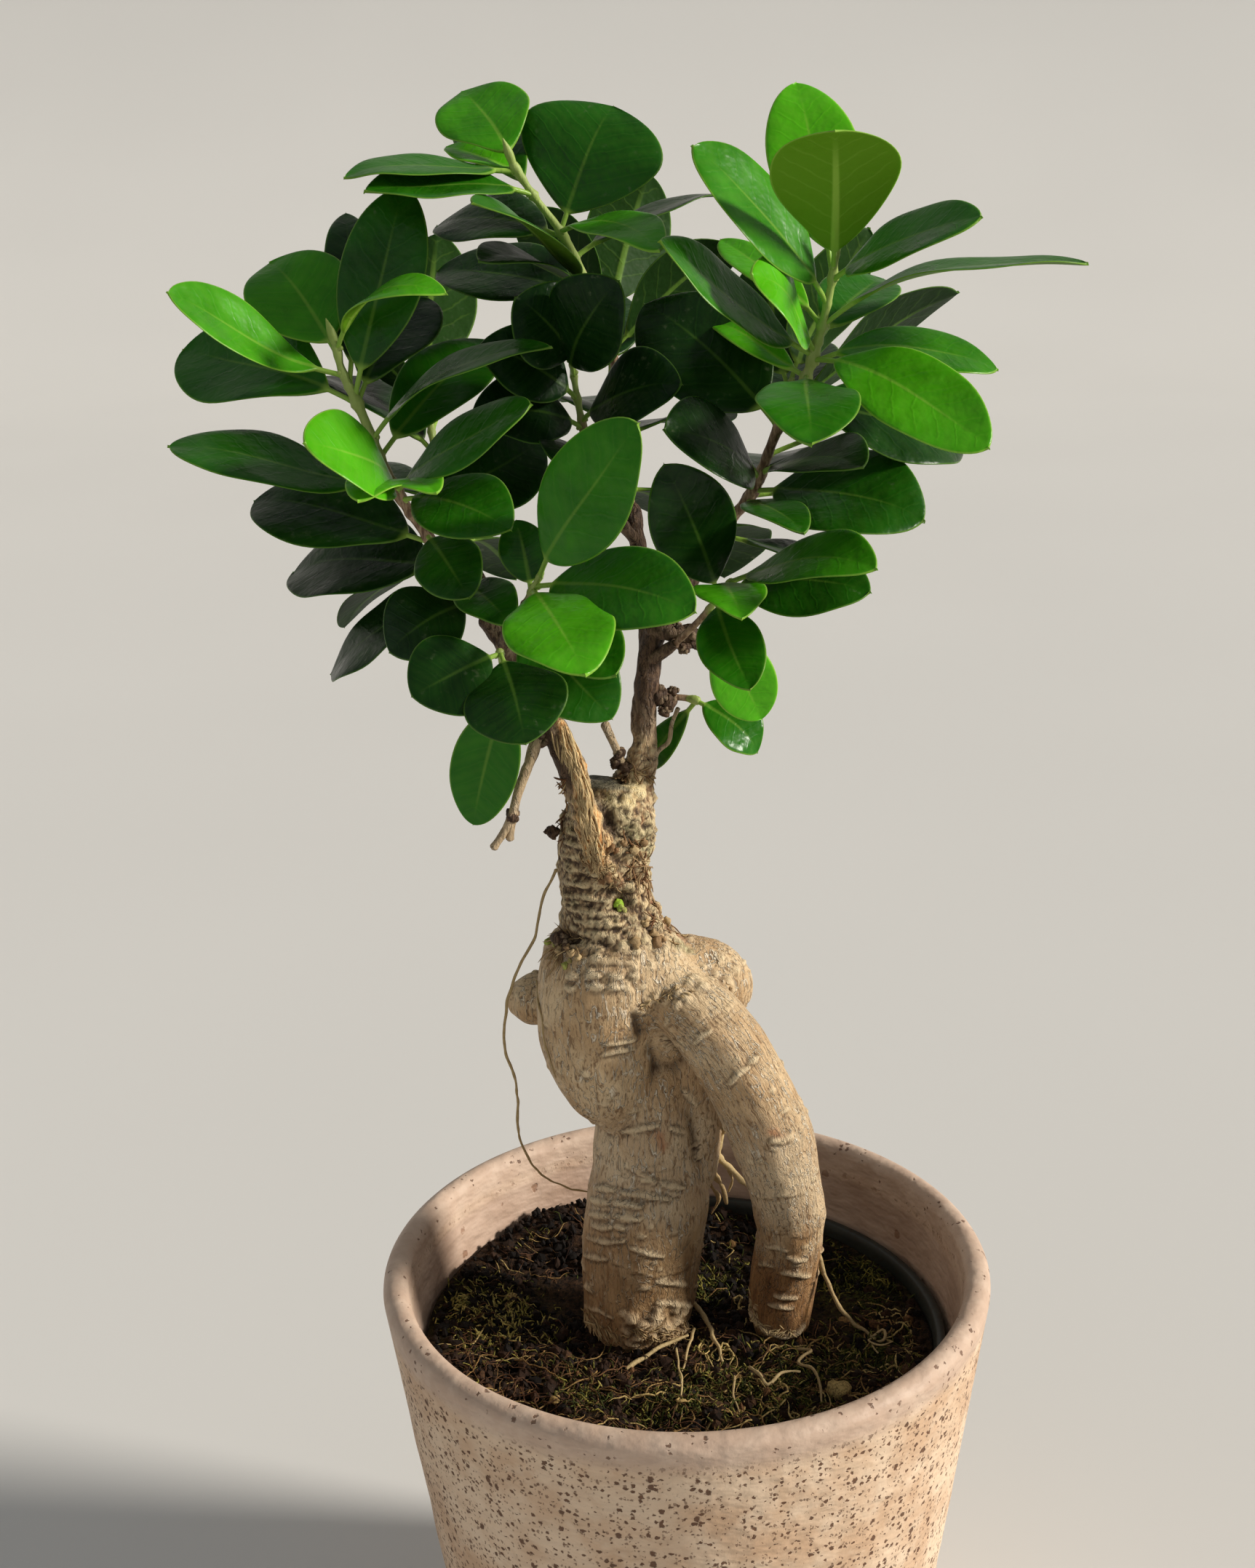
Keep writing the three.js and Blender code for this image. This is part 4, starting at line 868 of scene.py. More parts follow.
def stoneware_look():
    look = Look("stoneware", 0.6, Specular_IOR_Level=0.35)
    lip, inside = look.mark("lip"), look.mark("inside")
    sway = look.noise(1 / 1.1, detail=2, rough=0.5, output="Color")
    swayed = look.shifted(look.place, look.scaled(sway, (1.3, 1.3, 1.3)))

    def specks(size, low, high, stretch, most, spot=0.05):
        """Dark grains in part of the cells: low and high bound the chances that make them grow"""
        vector = look.scaled(swayed, stretch)
        chance = look.add("SeparateColor")
        look.put(chance.inputs[0], look.cells(size, vector, output="Color"))
        reach = look.times(look.ramp(chance.outputs[0], low, high), most)
        return look.ramp(look.minus(reach, look.cells(size, vector)), -spot, spot)

    crowd = look.ramp(look.noise(13, detail=2), 0.32, 0.7, 0.14, -0.14)
    big = specks(2.6, look.plus(0.5, crowd), 0.97, (1.1, 1.1, 0.9), 0.3)
    middle = specks(1.55, look.plus(0.34, crowd), 0.94, (1.0, 1.0, 1.25), 0.38, 0.06)
    small = specks(0.95, look.plus(0.46, crowd), 0.96, (1.2, 1.2, 1.0), 0.42, 0.08)
    plain = look.ramp(look.larger(lip, inside), 0.0, 1.0, 1.0, 0.0)
    rare = look.ramp(look.noise(5), 0.52, 0.58)
    lip_specks = look.times(look.times(middle, lip), look.times(rare, 0.85))
    wall_spots = look.times(look.times(specks(5.5, 0.35, 1.0, (1, 1, 1), 0.22, 0.04), inside), 0.75)
    grains = look.larger(big, look.larger(middle, look.times(small, 0.7)))
    grains = look.larger(look.times(grains, plain), look.larger(lip_specks, wall_spots))
    cloud = look.noise(17, detail=3)
    clay = look.between(cloud, 0.36, 0.66, tint(202, 168, 136), tint(222, 196, 168))
    clay = look.mix(look.ramp(look.noise(6, detail=3), 0.5, 0.68, 0.0, 0.35), clay, tint(230, 208, 182))
    clay = look.mix(look.ramp(look.noise(3.4, detail=3), 0.46, 0.3, 0.0, 0.22), clay, tint(178, 142, 108))
    fleck = look.ramp(look.noise(0.8, detail=3), 0.58, 0.72)
    rim = look.between(look.noise(6, detail=3), 0.35, 0.7, tint(192, 165, 144), tint(204, 179, 158))
    rim = look.mix(look.times(fleck, 0.25), rim, tint(170, 146, 128))
    wall = look.between(cloud, 0.35, 0.7, tint(176, 148, 128), tint(198, 172, 152))
    colour = look.mix(lip, look.mix(inside, clay, wall), rim)
    brown = look.mix(look.noise(0.9), tint(50, 26, 12), tint(112, 67, 35))
    brown = look.mix(inside, brown, tint(132, 92, 64))
    colour = look.mix(look.times(grains, 0.92), colour, brown)
    look.colour(colour)
    grit = look.noise(0.7, detail=3)
    look.put(look.shader.inputs["Roughness"], look.ramp(cloud, 0.3, 0.7, 0.5, 0.68))
    glaze = look.noise(7, look.scaled(look.place, (1, 1, 2.2)), detail=2)
    look.bumps((glaze, 0.9), (look.minus(1.0, grains), 0.16), (grit, 0.07))
    return look.material


def liner_look():
    look = Look("liner_plastic", 0.45, Specular_IOR_Level=0.4)
    haze = look.noise(9, detail=3)
    dirt = look.ramp(look.noise(1.6, detail=5), 0.5, 0.7)
    base = look.mix(haze, tint(40, 42, 38), tint(58, 61, 55))
    look.colour(look.mix(look.times(dirt, 0.7), base, tint(46, 38, 28)))
    look.bumps((haze, 0.3))
    return look.material


LEAF = leaf_look("leaf", tint(15, 44, 9), tint(34, 100, 7), tint(80, 170, 14),
                 tint(36, 62, 12), tint(108, 158, 26), 0.18)
# a darker copy of the leaf colours for the shoots in the middle and at the back: painted shade
SHADED_LEAF = leaf_look("leaf_shaded", tint(12, 40, 10), tint(20, 78, 12), tint(56, 140, 24),
                        tint(20, 46, 12), tint(58, 104, 24), 0.14)
STEM = stem_look()
BARK = bark_look()
ROOT = root_look()
SOIL = soil_look()
CRUMB = litter_look("crumb", [tint(14, 9, 6), tint(54, 35, 22), tint(112, 78, 48)])
FIBRE = litter_look("fibre", [tint(44, 26, 17), tint(96, 64, 42), tint(138, 106, 62), tint(196, 170, 110)])
MOSS = litter_look("moss", [tint(26, 30, 12), tint(68, 74, 26), tint(140, 130, 60), tint(196, 178, 104)])
STONEWARE = stoneware_look()
LINER = liner_look()


# Pot and liner
def turned(profile, segments, sway):
    """A body turned about the Z axis from [radius, height, marks...] rows; sway moves points outward"""
    profile = np.asarray(profile, float)
    turn = np.linspace(0, 2 * math.pi, segments, endpoint=False)
    radius, height = np.meshgrid(profile[:, 0], turn, indexing="ij")[0], profile[:, 1][:, None]
    points = np.stack([radius * np.cos(turn), radius * np.sin(turn), height + 0 * radius], -1)
    flat = points.reshape(-1, 3)
    outward = flat * [1, 1, 0] / np.maximum(np.linalg.norm(flat[:, :2], axis=1), 1)[:, None]
    points = (flat + outward * sway(flat)[:, None]).reshape(points.shape)
    body = skin(points)
    marks = [np.append(np.repeat(profile[:, i], segments), [0, 0]) for i in range(2, profile.shape[1])]
    return body, marks


def pot_outer(height):
    return POT_RADIUS - POT_TAPER * (POT_HEIGHT - LIP_RADIUS - height)


def pot_profile():
    """Rows of radius, height, lip mark and inside mark, from the underside's middle round to the floor's"""
    wall_top = POT_HEIGHT - LIP_RADIUS
    rows = [[0.2, 0], [30, 0], [pot_outer(0) - FOOT_BEVEL - 1, 0]]
    for angle in np.linspace(0, math.pi / 2, 5):
        rows.append([pot_outer(FOOT_BEVEL) - FOOT_BEVEL * (1 - math.sin(angle)),
                     FOOT_BEVEL * (1 - math.cos(angle))])
    rows += [[pot_outer(z), z] for z in np.arange(4, wall_top - 1, 2.0)]
    lip = np.linspace(0, math.pi, 15)
    rows += [[POT_RADIUS - LIP_RADIUS + LIP_RADIUS * math.cos(a), wall_top + LIP_RADIUS * math.sin(a)]
             for a in lip]
    outside = len(rows) - 1
    rows += [[pot_outer(z) - 2 * LIP_RADIUS, z] for z in np.arange(wall_top - 2, POT_FLOOR + COVE, -2.0)]
    corner = pot_outer(POT_FLOOR + COVE) - 2 * LIP_RADIUS
    rows += [[corner - COVE * (1 - math.cos(a)), POT_FLOOR + COVE * (1 - math.sin(a))]
             for a in np.linspace(0, math.pi / 2, 5)]
    rows += [[30, POT_FLOOR], [0.2, POT_FLOOR]]
    rows = np.array(rows)
    inner = np.arange(len(rows)) > outside
    lip_mark = smoothstep(wall_top - 5.5, wall_top - 2.5, rows[:, 1])
    return np.column_stack([rows, lip_mark, inner * (1 - lip_mark)])


def pot_sway(points):
    soft = smoothstep(1, 12, points[:, 2])
    wall = smoothstep(55, 62, np.hypot(points[:, 0], points[:, 1]))
    belly = smoothstep(124, 112, points[:, 2])
    return soft * wall * (0.14 * noise(points, 26, 4) + belly * 0.22 * noise(points, 9, 8))


def add_pot():
    body, (lip, inside) = turned(pot_profile(), 192, pot_sway)
    pot = Pile()
    pot.add(body, lip=lip, inside=inside)
    pot.make("stoneware_pot", [STONEWARE], ["pot"])


def liner_outer(height):
    return LINER_RADIUS - POT_TAPER * (LINER_HEIGHT - height)


LINER_FOOT = POT_FLOOR + GAP
LINER_TOP_FOOT = LINER_HEIGHT - FLANGE_HEIGHT


def add_liner():
    floor = LINER_FOOT + LINER_WALL
    rim = liner_outer(LINER_HEIGHT) + LINER_FLANGE
    rows = [[0.2, LINER_FOOT], [liner_outer(LINER_FOOT) - 1, LINER_FOOT],
            [liner_outer(LINER_FOOT), LINER_FOOT + 1]]
    rows += [[liner_outer(z), z] for z in np.arange(12, LINER_TOP_FOOT, 8.0)]
    rows += [[liner_outer(LINER_TOP_FOOT), LINER_TOP_FOOT], [rim - 0.3, LINER_TOP_FOOT],
             [rim, LINER_TOP_FOOT + 0.3], [rim, LINER_HEIGHT - 0.4], [rim - 0.4, LINER_HEIGHT],
             [liner_outer(LINER_HEIGHT) - LINER_WALL + 0.3, LINER_HEIGHT],
             [liner_outer(LINER_HEIGHT) - LINER_WALL, LINER_HEIGHT - 0.3]]
    rows += [[liner_outer(z) - LINER_WALL, z] for z in np.arange(LINER_TOP_FOOT, floor, -8.0)]
    rows += [[liner_outer(floor) - LINER_WALL, floor], [0.2, floor]]
    body, _ = turned(rows, 128, lambda points: 0.12 * noise(points, 22, 3))
    liner = Pile()
    liner.add(body)
    liner.make("nursery_liner", [LINER], ["nursery_pot"])


# Trunk
def edges_of(quads):
    pairs = np.vstack([quads[:, [i, (i + 1) % 4]] for i in range(4)])
    return np.unique(np.sort(pairs, axis=1), axis=0)


def neighbour_mean(values, edges):
    n = len(values)
    a, b = edges.T
    count = np.bincount(a, minlength=n) + np.bincount(b, minlength=n)
    columns = [np.bincount(a, v[b], n) + np.bincount(b, v[a], n) for v in values.T]
    return np.stack(columns, 1) / np.maximum(count, 1)[:, None]


def normals_of(points, quads):
    face = np.cross(points[quads[:, 2]] - points[quads[:, 0]], points[quads[:, 3]] - points[quads[:, 1]])
    total = np.stack([sum(np.bincount(quads[:, i], face[:, k], len(points)) for i in range(4))
                      for k in range(3)], 1)
    return unit(total)


def merged(bodies, cell):
    """One closed skin round overlapping bodies, as quads of about a cell's size"""
    mass = Pile()
    for body in bodies:
        mass.add(body)
    rough_piece = mass.make("merging", [])
    remesh = rough_piece.modifiers.new("merge", "REMESH")
    remesh.mode = "VOXEL"
    remesh.voxel_size = cell * MM
    found = rough_piece.evaluated_get(bpy.context.evaluated_depsgraph_get()).to_mesh()
    points = np.zeros(len(found.vertices) * 3, np.float32)
    found.vertices.foreach_get("co", points)
    corners = np.zeros(len(found.loops), np.int32)
    found.loops.foreach_get("vertex_index", corners)
    bpy.data.objects.remove(rough_piece)
    return points.reshape(-1, 3).astype(float) / MM, corners.reshape(-1, 4).astype(int)


class Skin:
    """The trunk's surface while its bark is being shaped"""

    def __init__(self, points, quads):
        self.points, self.quads = points, quads
        self.edges = edges_of(quads)
        self.refresh()

    def refresh(self):
        self.normals = normals_of(self.points, self.quads)

    def settle(self, rounds, part=0.5, back=-0.52, where=1.0):
        where = np.broadcast_to(np.asarray(where, float), len(self.points))[:, None]
        for _ in range(rounds):
            for by in (part, back):
                pull = neighbour_mean(self.points, self.edges) - self.points
                self.points = self.points + where * by * pull
        self.refresh()

    def lift(self, by):
        self.points = self.points + self.normals * np.asarray(by)[:, None]
        self.refresh()

    def tree(self):
        return BVHTree.FromPolygons(self.points.tolist(), self.quads.tolist())

    def curve_in(self):
        """How far each point lies below its neighbours"""
        return np.sum((neighbour_mean(self.points, self.edges) - self.points) * self.normals, axis=1)


def near_line(points, line, width, power=2.0, fuzz=None):
    """1 on a line of [x, y, z] points, falling off over a width; fuzz makes its edge uneven"""
    line = np.asarray(line, float).reshape(-1, 3)
    found = np.zeros(len(points))
    if not len(line):
        return found
    widths = np.broadcast_to(np.asarray(width, float), len(line))
    margin = 3 * widths.max()
    near = np.flatnonzero(np.all((points > line.min(0) - margin) & (points < line.max(0) + margin), axis=1))
    spots = points[near]
    best = np.linalg.norm(spots - line[0], axis=1) / widths[0]
    for a, b, wa, wb in zip(line[:-1], line[1:], widths[:-1], widths[1:]):
        along = np.clip((spots - a) @ (b - a) / max((b - a) @ (b - a), 1e-9), 0, 1)
        gap = np.linalg.norm(spots - (a + along[:, None] * (b - a)), axis=1)
        best = np.minimum(best, gap / (wa + along * (wb - wa)))
    if fuzz is not None:
        best = best * (1 + fuzz[near])
    found[near] = np.exp(-best ** power)
    return found


def member_place(points, rows):
    """Distance from a member's middle line in radii, run along it, turn about it and the line's radius at
    each point, and how far the point lies to the right of the line, in radii"""
    line, _ = even_line(rows, 1.0)
    normals, across, _ = carried(line[:, :3])
    run = np.concatenate([[0], np.cumsum(np.linalg.norm(np.diff(line[:, :3], axis=0), axis=1))])
    ratio = np.full(len(points), 1e9)
    nearest = np.zeros(len(points), int)
    for i, row in enumerate(line):
        now = np.linalg.norm(points - row[:3], axis=1) / row[3]
        closer = now < ratio
        ratio[closer], nearest[closer] = now[closer], i
    off = points - line[nearest, :3]
    turn = np.arctan2(np.sum(off * across[nearest], 1), np.sum(off * normals[nearest], 1))
    return ratio, run[nearest], turn, line[nearest, 3], off @ RIGHT / line[nearest, 3]


def shape_trunk():
    members = [(BODY, 40), (SHOULDER, 32), (MAIN_LEG, 40), (RIGHT_LEG, 32), (RIGHT_KNOB, 28),
               (LEFT_KNOB, 24), (LEFT_BRANCH, 16), (RIGHT_BRANCH, 16), (MIDDLE_BRANCH, 14)]
    bodies = [limb(rows, sides) for rows, sides in members]
    bodies += [limb(NECK, 32, dome=0.12), limb(COLLAR, 24), limb(CROTCH, 28), limb(WEB, 24)]
    trunk = Skin(*merged(bodies, TRUNK_CELL))
    trunk.settle(6)
    place = trunk.points
    # the shoulders and the branch collars flow into one another
    joints = [([-8, -4, 200], 8), ([-14, -8, 226], 6), ([-9, 0, 236], 5), ([2, 0, 199], 6),
              ([-26, 6, 190], 6), ([-4, -10, 204], 7), ([-13.4, -8.4, 221], 5), ([-8, -7, 166], 6),
              ([4, 0, 170], 6)]
    blend = sum(near_line(place, [centre], reach) for centre, reach in joints)
    trunk.settle(50, part=0.6, back=0.0, where=np.clip(blend, 0, 1))
    return trunk


def under(tree, x, y):
    """The place on a skin under a point of the picture, and the skin's normal there"""
    return tree.ray_cast(Vector(CAMERA_PLACE), Vector(sight(x, y)))[:2]


class Bark:
    """The heights and marks that shape the trunk's skin"""

    def __init__(self, trunk):
        self.trunk, self.base = trunk, trunk.points.copy()
        self.tree = trunk.tree()
        self.chance = np.random.default_rng(11)
        self.fuzz = 0.45 * noise(self.base, 1.1, 41) + 0.15 * noise(self.base, 0.6, 42)
        self.grain = 0.8 + 0.3 * noise(self.base, 1.3, 9)
        self.lift = np.zeros(len(self.base))
        self.marks = {key: np.zeros(len(self.base)) for key in
                      ("raised", "hollow", "wound", "rust", "lichen")}

    def seen(self, x, y):
        """The place on the skin under a point of the picture"""
        hit, _ = under(self.tree, x, y)
        return None if hit is None else np.array(hit)

    def line_on(self, pixels):
        spots = [self.seen(x, y) for x, y in pixels]
        return [spot for spot in spots if spot is not None]

    def shape(self, line, width, power=2.0):
        return near_line(self.base, line, width, power, self.fuzz)

    def stain(self, key, shape, strength=1.0):
        self.marks[key] = np.maximum(self.marks[key], shape * strength)

    def ridge(self, line, height, half, raised=1.0):
        """A raised scar with narrow ends and a crack below it, dented and darkened with painted shade"""
        line = np.asarray(line, float)
        widths = half * np.interp(np.linspace(0, 1, len(line)), [0, 0.5, 1], [0.62, 1.12, 0.62])
        shape = near_line(self.base, line, widths, 3.4, 0.5 * self.fuzz)
        crack = self.shape(line - [0, 0, 1.25 * half + 0.3], 0.3 * widths + 0.1)
        self.lift += (shape * height * self.grain - 0.2 * crack) * (1 - 0.5 * np.clip(self.lift, 0, 1))
        self.marks["hollow"] *= 1 - shape
        self.stain("raised", shape, raised)
        self.stain("hollow", crack, 0.5)

    def wart(self, spot, radius, height=0.75, raised=0.8):
        shape = self.shape([spot], radius * 0.95, 3)
        self.lift = np.maximum(self.lift, self.lift * (1 - shape) + shape * radius * height)
        self.stain("raised", shape, raised)

    def ridges_across(self, spots, out, halves, heights, raised):
        for spot, normal, half, height in zip(spots, out, halves, heights):
            side = unit(np.cross(normal, [0.1, 0.1, 1]) + self.chance.normal(0, 0.1, 3))
            line = [spot - side * half, spot, spot + side * half]
            self.ridge(line, height, self.chance.uniform(0.45, 0.75), raised)


def picture_features(bark):
    """Scars, wrinkles, warts, hollows and stains that the picture shows"""
    chance = bark.chance
    for x0, y0, x1, y1, height, half in SCARS:
        middle = ((x0 + x1) / 2 + chance.normal(0, 1), (y0 + y1) / 2 + chance.normal(0, 1.5))
        ends = bark.line_on([(x0, y0), middle, (x1, y1)])
        if len(ends) == 3:
            bark.ridge(ends, height * 1.1, half)
    for x0, y0, x1, y1, height, half in WRINKLES:
        ends = bark.line_on([(x0, y0), ((x0 + x1) / 2, (y0 + y1) / 2 + chance.normal(0, 2)), (x1, y1)])
        if len(ends) == 3:
            bark.ridge(ends, height, half, 0.45)
    for line, number, size, spread in SEAMS:
        track = bark.line_on(line)
        for spot in spline(track, chance.uniform(0, 1, number)) + chance.normal(0, spread * 0.5, (number, 3)):
            bark.wart(spot, size * chance.uniform(0.5, 1.1), 0.7, 0.8)
    for x, y, radius in WARTS:
        for spot in bark.line_on([(x, y)]):
            bark.wart(spot, radius, chance.uniform(0.6, 0.85), 0.9)
    for x, y, radius in FOOT_KNOBS:
        for spot in bark.line_on([(x, y)]):
            bark.wart(spot, radius, chance.uniform(0.7, 0.95), 0.75)
    track = bark.line_on(PEELED_RIM)
    rim = bark.shape(track, 0.75, 2.6)
    bark.lift += rim * 1.2 * bark.grain
    bark.stain("raised", rim, 1.2)
    for x0, y0, x1, y1, half, depth in HOLLOWS:
        ends = bark.line_on([(x0, y0), (x1, y1)])
        if len(ends) == 2:
            shape = bark.shape(ends, half)
            bark.lift -= shape * depth
            bark.marks["raised"] *= 1 - shape
            bark.stain("hollow", shape, 0.9)
    for key, stains in (("rust", RUST), ("lichen", LICHEN)):
        for pixels, half in stains:
            bark.stain(key, bark.shape(bark.line_on(pixels), half))
    for x, y, radius in WOUNDS:
        for spot in bark.line_on([(x, y)]):
            shape = bark.shape([spot], radius, 4)
            bark.lift += shape * (0.9 - 0.5 * bark.shape([spot], radius * 0.45))
            bark.stain("wound", shape)
            bark.stain("rust", bark.shape([spot], radius * 1.9) - shape, 0.9)


def scattered_features(bark, wood):
    """Small scars all over the legs and body, and crust round the neck, on every side"""
    chance, base, out = bark.chance, bark.base, bark.trunk.normals
    z = base[:, 2]
    swollen = (z > SCARRED[0]) & (z < SCARRED[1]) & (wood < 0.2)
    for number, side, long, high in ((BACK_SCARS, out[:, 1] > -0.15, (0.8, 4), (0.4, 0.9)),
                                     (FRONT_SCARS, out[:, 1] < -0.15, (0.3, 1.4), (0.25, 0.5))):
        chosen = chance.choice(np.flatnonzero(swollen & side), number, replace=False)
        bark.ridges_across(base[chosen], out[chosen], chance.uniform(*long, number),
                           chance.uniform(*high, number), 0.8)
    # wrinkles run round the neck's back as they do round its front
    back = np.flatnonzero((z > WRINKLED[0]) & (z < WRINKLED[1]) & (wood < 0.2) & (out[:, 1] > 0))
    chosen = chance.choice(back, BACK_WRINKLES, replace=False)
    bark.ridges_across(base[chosen], out[chosen], chance.uniform(2, 6, BACK_WRINKLES),
                       chance.uniform(0.4, 0.7, BACK_WRINKLES), 0.4)
    crusted = (z > CRUSTED[0]) & (z < CRUSTED[1]) & (wood < 0.3)
    crusted &= (base @ RIGHT > -17) | (out[:, 1] > 0)
    for index in chance.choice(np.flatnonzero(crusted), CRUST_WARTS, replace=False):
        reach = chance.uniform(0.5, 1.3)
        low = 0.4 + 0.6 * smoothstep(200, 214, z[index])
        bark.wart(base[index], reach, low * chance.uniform(0.35, 0.7), chance.uniform(0, 0.9))


def bark_of(trunk):
    """Displaces the skin into grooves, scars, warts and torn bark, and returns its marks"""
    z = trunk.points[:, 2]
    leg_ratio, leg_run, leg_turn, leg_radius, _ = member_place(trunk.points, RIGHT_LEG)
    main_ratio, main_run, main_turn, _, _ = member_place(trunk.points, MAIN_LEG)
    on_leg = smoothstep(1.35, 1.05, leg_ratio) * smoothstep(2, 12, leg_run)
    wood, dark = np.zeros(len(z)), np.zeros(len(z))
    collar = near_line(trunk.points, [row[:3] for row in COLLAR], [row[3] * 1.25 for row in COLLAR], 6)
    for rows in (LEFT_BRANCH, RIGHT_BRANCH, MIDDLE_BRANCH):
        ratio, run, _, _, side = member_place(trunk.points, rows)
        on = smoothstep(1.9, 1.3, ratio) * smoothstep(238, 248, z) * (1 - collar)
        # the left branch is darkened on its left side, which is painted shade; the other branches darken
        # higher up
        brown = smoothstep(0.2, -0.35, side) if rows is LEFT_BRANCH else smoothstep(250, 264, z)
        dark = np.maximum(dark, on * brown)
        wood = np.maximum(wood, on)
    swollen = 1 - wood
    # slow swellings, then grooves along the members
    upright = trunk.points * [1, 1, 0.14]
    bent = np.column_stack([leg_radius * np.cos(leg_turn), leg_radius * np.sin(leg_turn), leg_run * 0.14])
    grooves = (1 - on_leg) * rough(upright, 3.2, 2, 5) + on_leg * rough(bent, 3.2, 2, 6)
    trunk.lift(swollen * (0.5 * noise(trunk.points, 13, 1) + 0.2 * noise(trunk.points, 5, 2)
                          + 0.2 * grooves) + wood * (0.25 * rough(trunk.points, 2.2, 2, 3)
                                                     + 0.3 * noise(trunk.points * [1, 1, 0.3], 2.6, 12)))
    # rings round the legs
    on_main = smoothstep(1.3, 1.05, main_ratio)
    for run, turn, where, starts in ((main_run, main_turn, on_main, MAIN_LEG_RINGS),
                                     (leg_run, leg_turn, on_leg, RIGHT_LEG_RINGS)):
        for start in starts:
            level = start + 1.2 * np.sin(turn + start) + 0.7 * np.sin(3 * turn + 2 * start)
            arc = smoothstep(-0.6, 0.5, np.sin(turn + start * 1.7))
            line = np.exp(-((run - level) / 0.55) ** 2) - 0.6 * np.exp(-((run - level - 1.1) / 0.6) ** 2)
            trunk.lift(where * arc * 0.22 * line)
    bark = Bark(trunk)
    neck = smoothstep(203, 213, z) * smoothstep(262, 250, z) * swollen
    scattered_features(bark, wood)
    picture_features(bark)
    bark.lift += neck * 0.62 * rough(bark.base, 2.1, 3, 14)
    bark.lift -= 0.5 * neck
    # torn bark with lengthwise shreds
    kept = [(bark.seen(x, y), half) for x, y, half in TORN_BARK]
    strip = [spot for spot, _ in kept if spot is not None]
    ragged = 0.5 * noise(bark.base * [1, 1, 0.45], 1.5, 43) + 0.25 * noise(bark.base, 0.7, 44)
    torn = near_line(bark.base, strip, [half for spot, half in kept if spot is not None], 5, ragged)
    shreds = rough(bark.base * [1, 1, 0.12], 0.8, 2, 21)
    bark.lift = bark.lift * (1 - 0.8 * torn) + torn * (0.75 + 0.55 * shreds)
    cut = smoothstep(239.5, 241, z) * smoothstep(0.55, 0.8, trunk.normals[:, 2]) * swollen
    bark.lift *= 1 - 0.7 * cut
    trunk.lift(bark.lift)
    trunk.settle(1, part=0.22, back=0.0)
    # painted shade: the skin is darkened where it curves inward, in creases and hollows
    inward = trunk.curve_in()
    wide = inward[:, None]
    for _ in range(14):
        wide = neighbour_mean(wide, trunk.edges)
    hollow = smoothstep(0.015, 0.085, inward) * 0.6 + smoothstep(0.004, 0.02, wide[:, 0]) * 0.5
    _, leg_run, leg_turn, leg_radius, _ = member_place(trunk.points, RIGHT_LEG)
    bent = np.column_stack([leg_radius * np.cos(leg_turn), leg_radius * np.sin(leg_turn), leg_run * 0.17])
    marks = {key: np.clip(value, 0, 1) for key, value in bark.marks.items()}
    marks["raised"] *= 1 - torn
    # crumbs on the neck are paler on their tops, partly their own colour and partly a painted highlight, and
    # darker between, painted shade
    marks["raised"] = np.maximum(marks["raised"], neck * (1 - torn) * 0.8 * smoothstep(0.006, 0.05, -inward))
    marks["hollow"] = np.clip(np.maximum(marks["hollow"], hollow * (1 + 0.7 * neck)), 0, 1)
    return dict(marks, leg=on_leg, torn=torn, wood=wood, dark=dark, neck=neck * (1 - torn), cut=cut,
                grain=bent)


def add_trunk():
    trunk = shape_trunk()
    marks = bark_of(trunk)
    piece = Pile()
    piece.add((trunk.points, [trunk.quads]), **marks)
    piece.make("trunk_bark", [BARK], ["trunk"])
    return trunk


def add_twigs():
    """Woody twigs, broken stubs and knots"""
    twigs = Pile()
    for i, rows in enumerate(TWIGS + DEAD_TWIGS):
        line, parts = even_line(rows, 0.6)
        swell = 1 + 0.16 * noise(line[:, :3], 2.4, i)
        if i >= len(TWIGS):
            swell = swell + 0.22 * np.exp(-((parts - 1) / 0.08) ** 2)
        points, faces = tube(line[:, :3], line[:, 3] * swell, 10)
        points = points + 0.12 * noise(points, 0.9, i)[:, None] * unit(points - points.mean(0))
        pale = 0.35 if len(TWIGS) <= i < len(TWIGS) + 5 else 0.0
        twigs.add((points, faces), wood=1 - pale, raised=pale, dark=0.3 if pale else 0.8)
    for i, (centre, radius) in enumerate(KNOTS):
        # the knots carry a little painted shade
        twigs.add(ball(centre, radius, 40 + i, 11, 16, 0.55), wood=1.0, dark=1.0, hollow=0.25)
        for k in range(5):
            way = np.random.default_rng(100 * i + k).normal(0, 1, 3)
            spot = np.array(centre) + unit(way) * radius * 0.85
            twigs.add(ball(spot, radius * 0.42, 60 + i + k, 7, 9, 0.5), wood=1.0, dark=0.8, raised=0.1)
    twigs.make("twigs_and_knots", [BARK])


def tones_of(chance, corners, mean, spread, number=None):
    """A tone for each of many bodies, repeated for its corners"""
    return np.repeat(np.clip(chance.normal(mean, spread, number), 0, 1), corners)


def add_threads(trunk):
    """Thin roots in the air, on the bark and on the soil"""
    threads = Pile()
    tree = trunk.tree()
    chance = np.random.default_rng(19)
    hugging = []
    for x, y in CLINGING_THREAD:
        hit, normal = under(tree, x, y)
        if hit is not None:
            hugging.append(list(hit + normal * 0.25))
    lines = THREADS + [(hugging, 0.3)]
    for i, (line, radius) in enumerate(lines):
        path, parts = even_line([list(p) + [radius] for p in line], 0.8)
        middle = path[:, :3]
        middle = middle + np.stack([noise(middle, 3.5, i + k) for k in (1, 2, 3)], 1) * min(0.5, radius)
        knobs = 0.55 if i in KNOBBLY_THREADS else 0.25
        size = radius * (1 + knobs * noise(middle, 1.4, i)) * (1 - 0.45 * parts ** 3)
        size = size * (0.78 if i > max(KNOBBLY_THREADS) else 0.95)
        tone = 0.6 if i in (0, len(lines) - 1) else chance.uniform(0.4, 0.8)
        threads.add(tube(middle, size, 8), tone=tone, green=0.04)
    threads.make("root_threads", [ROOT])


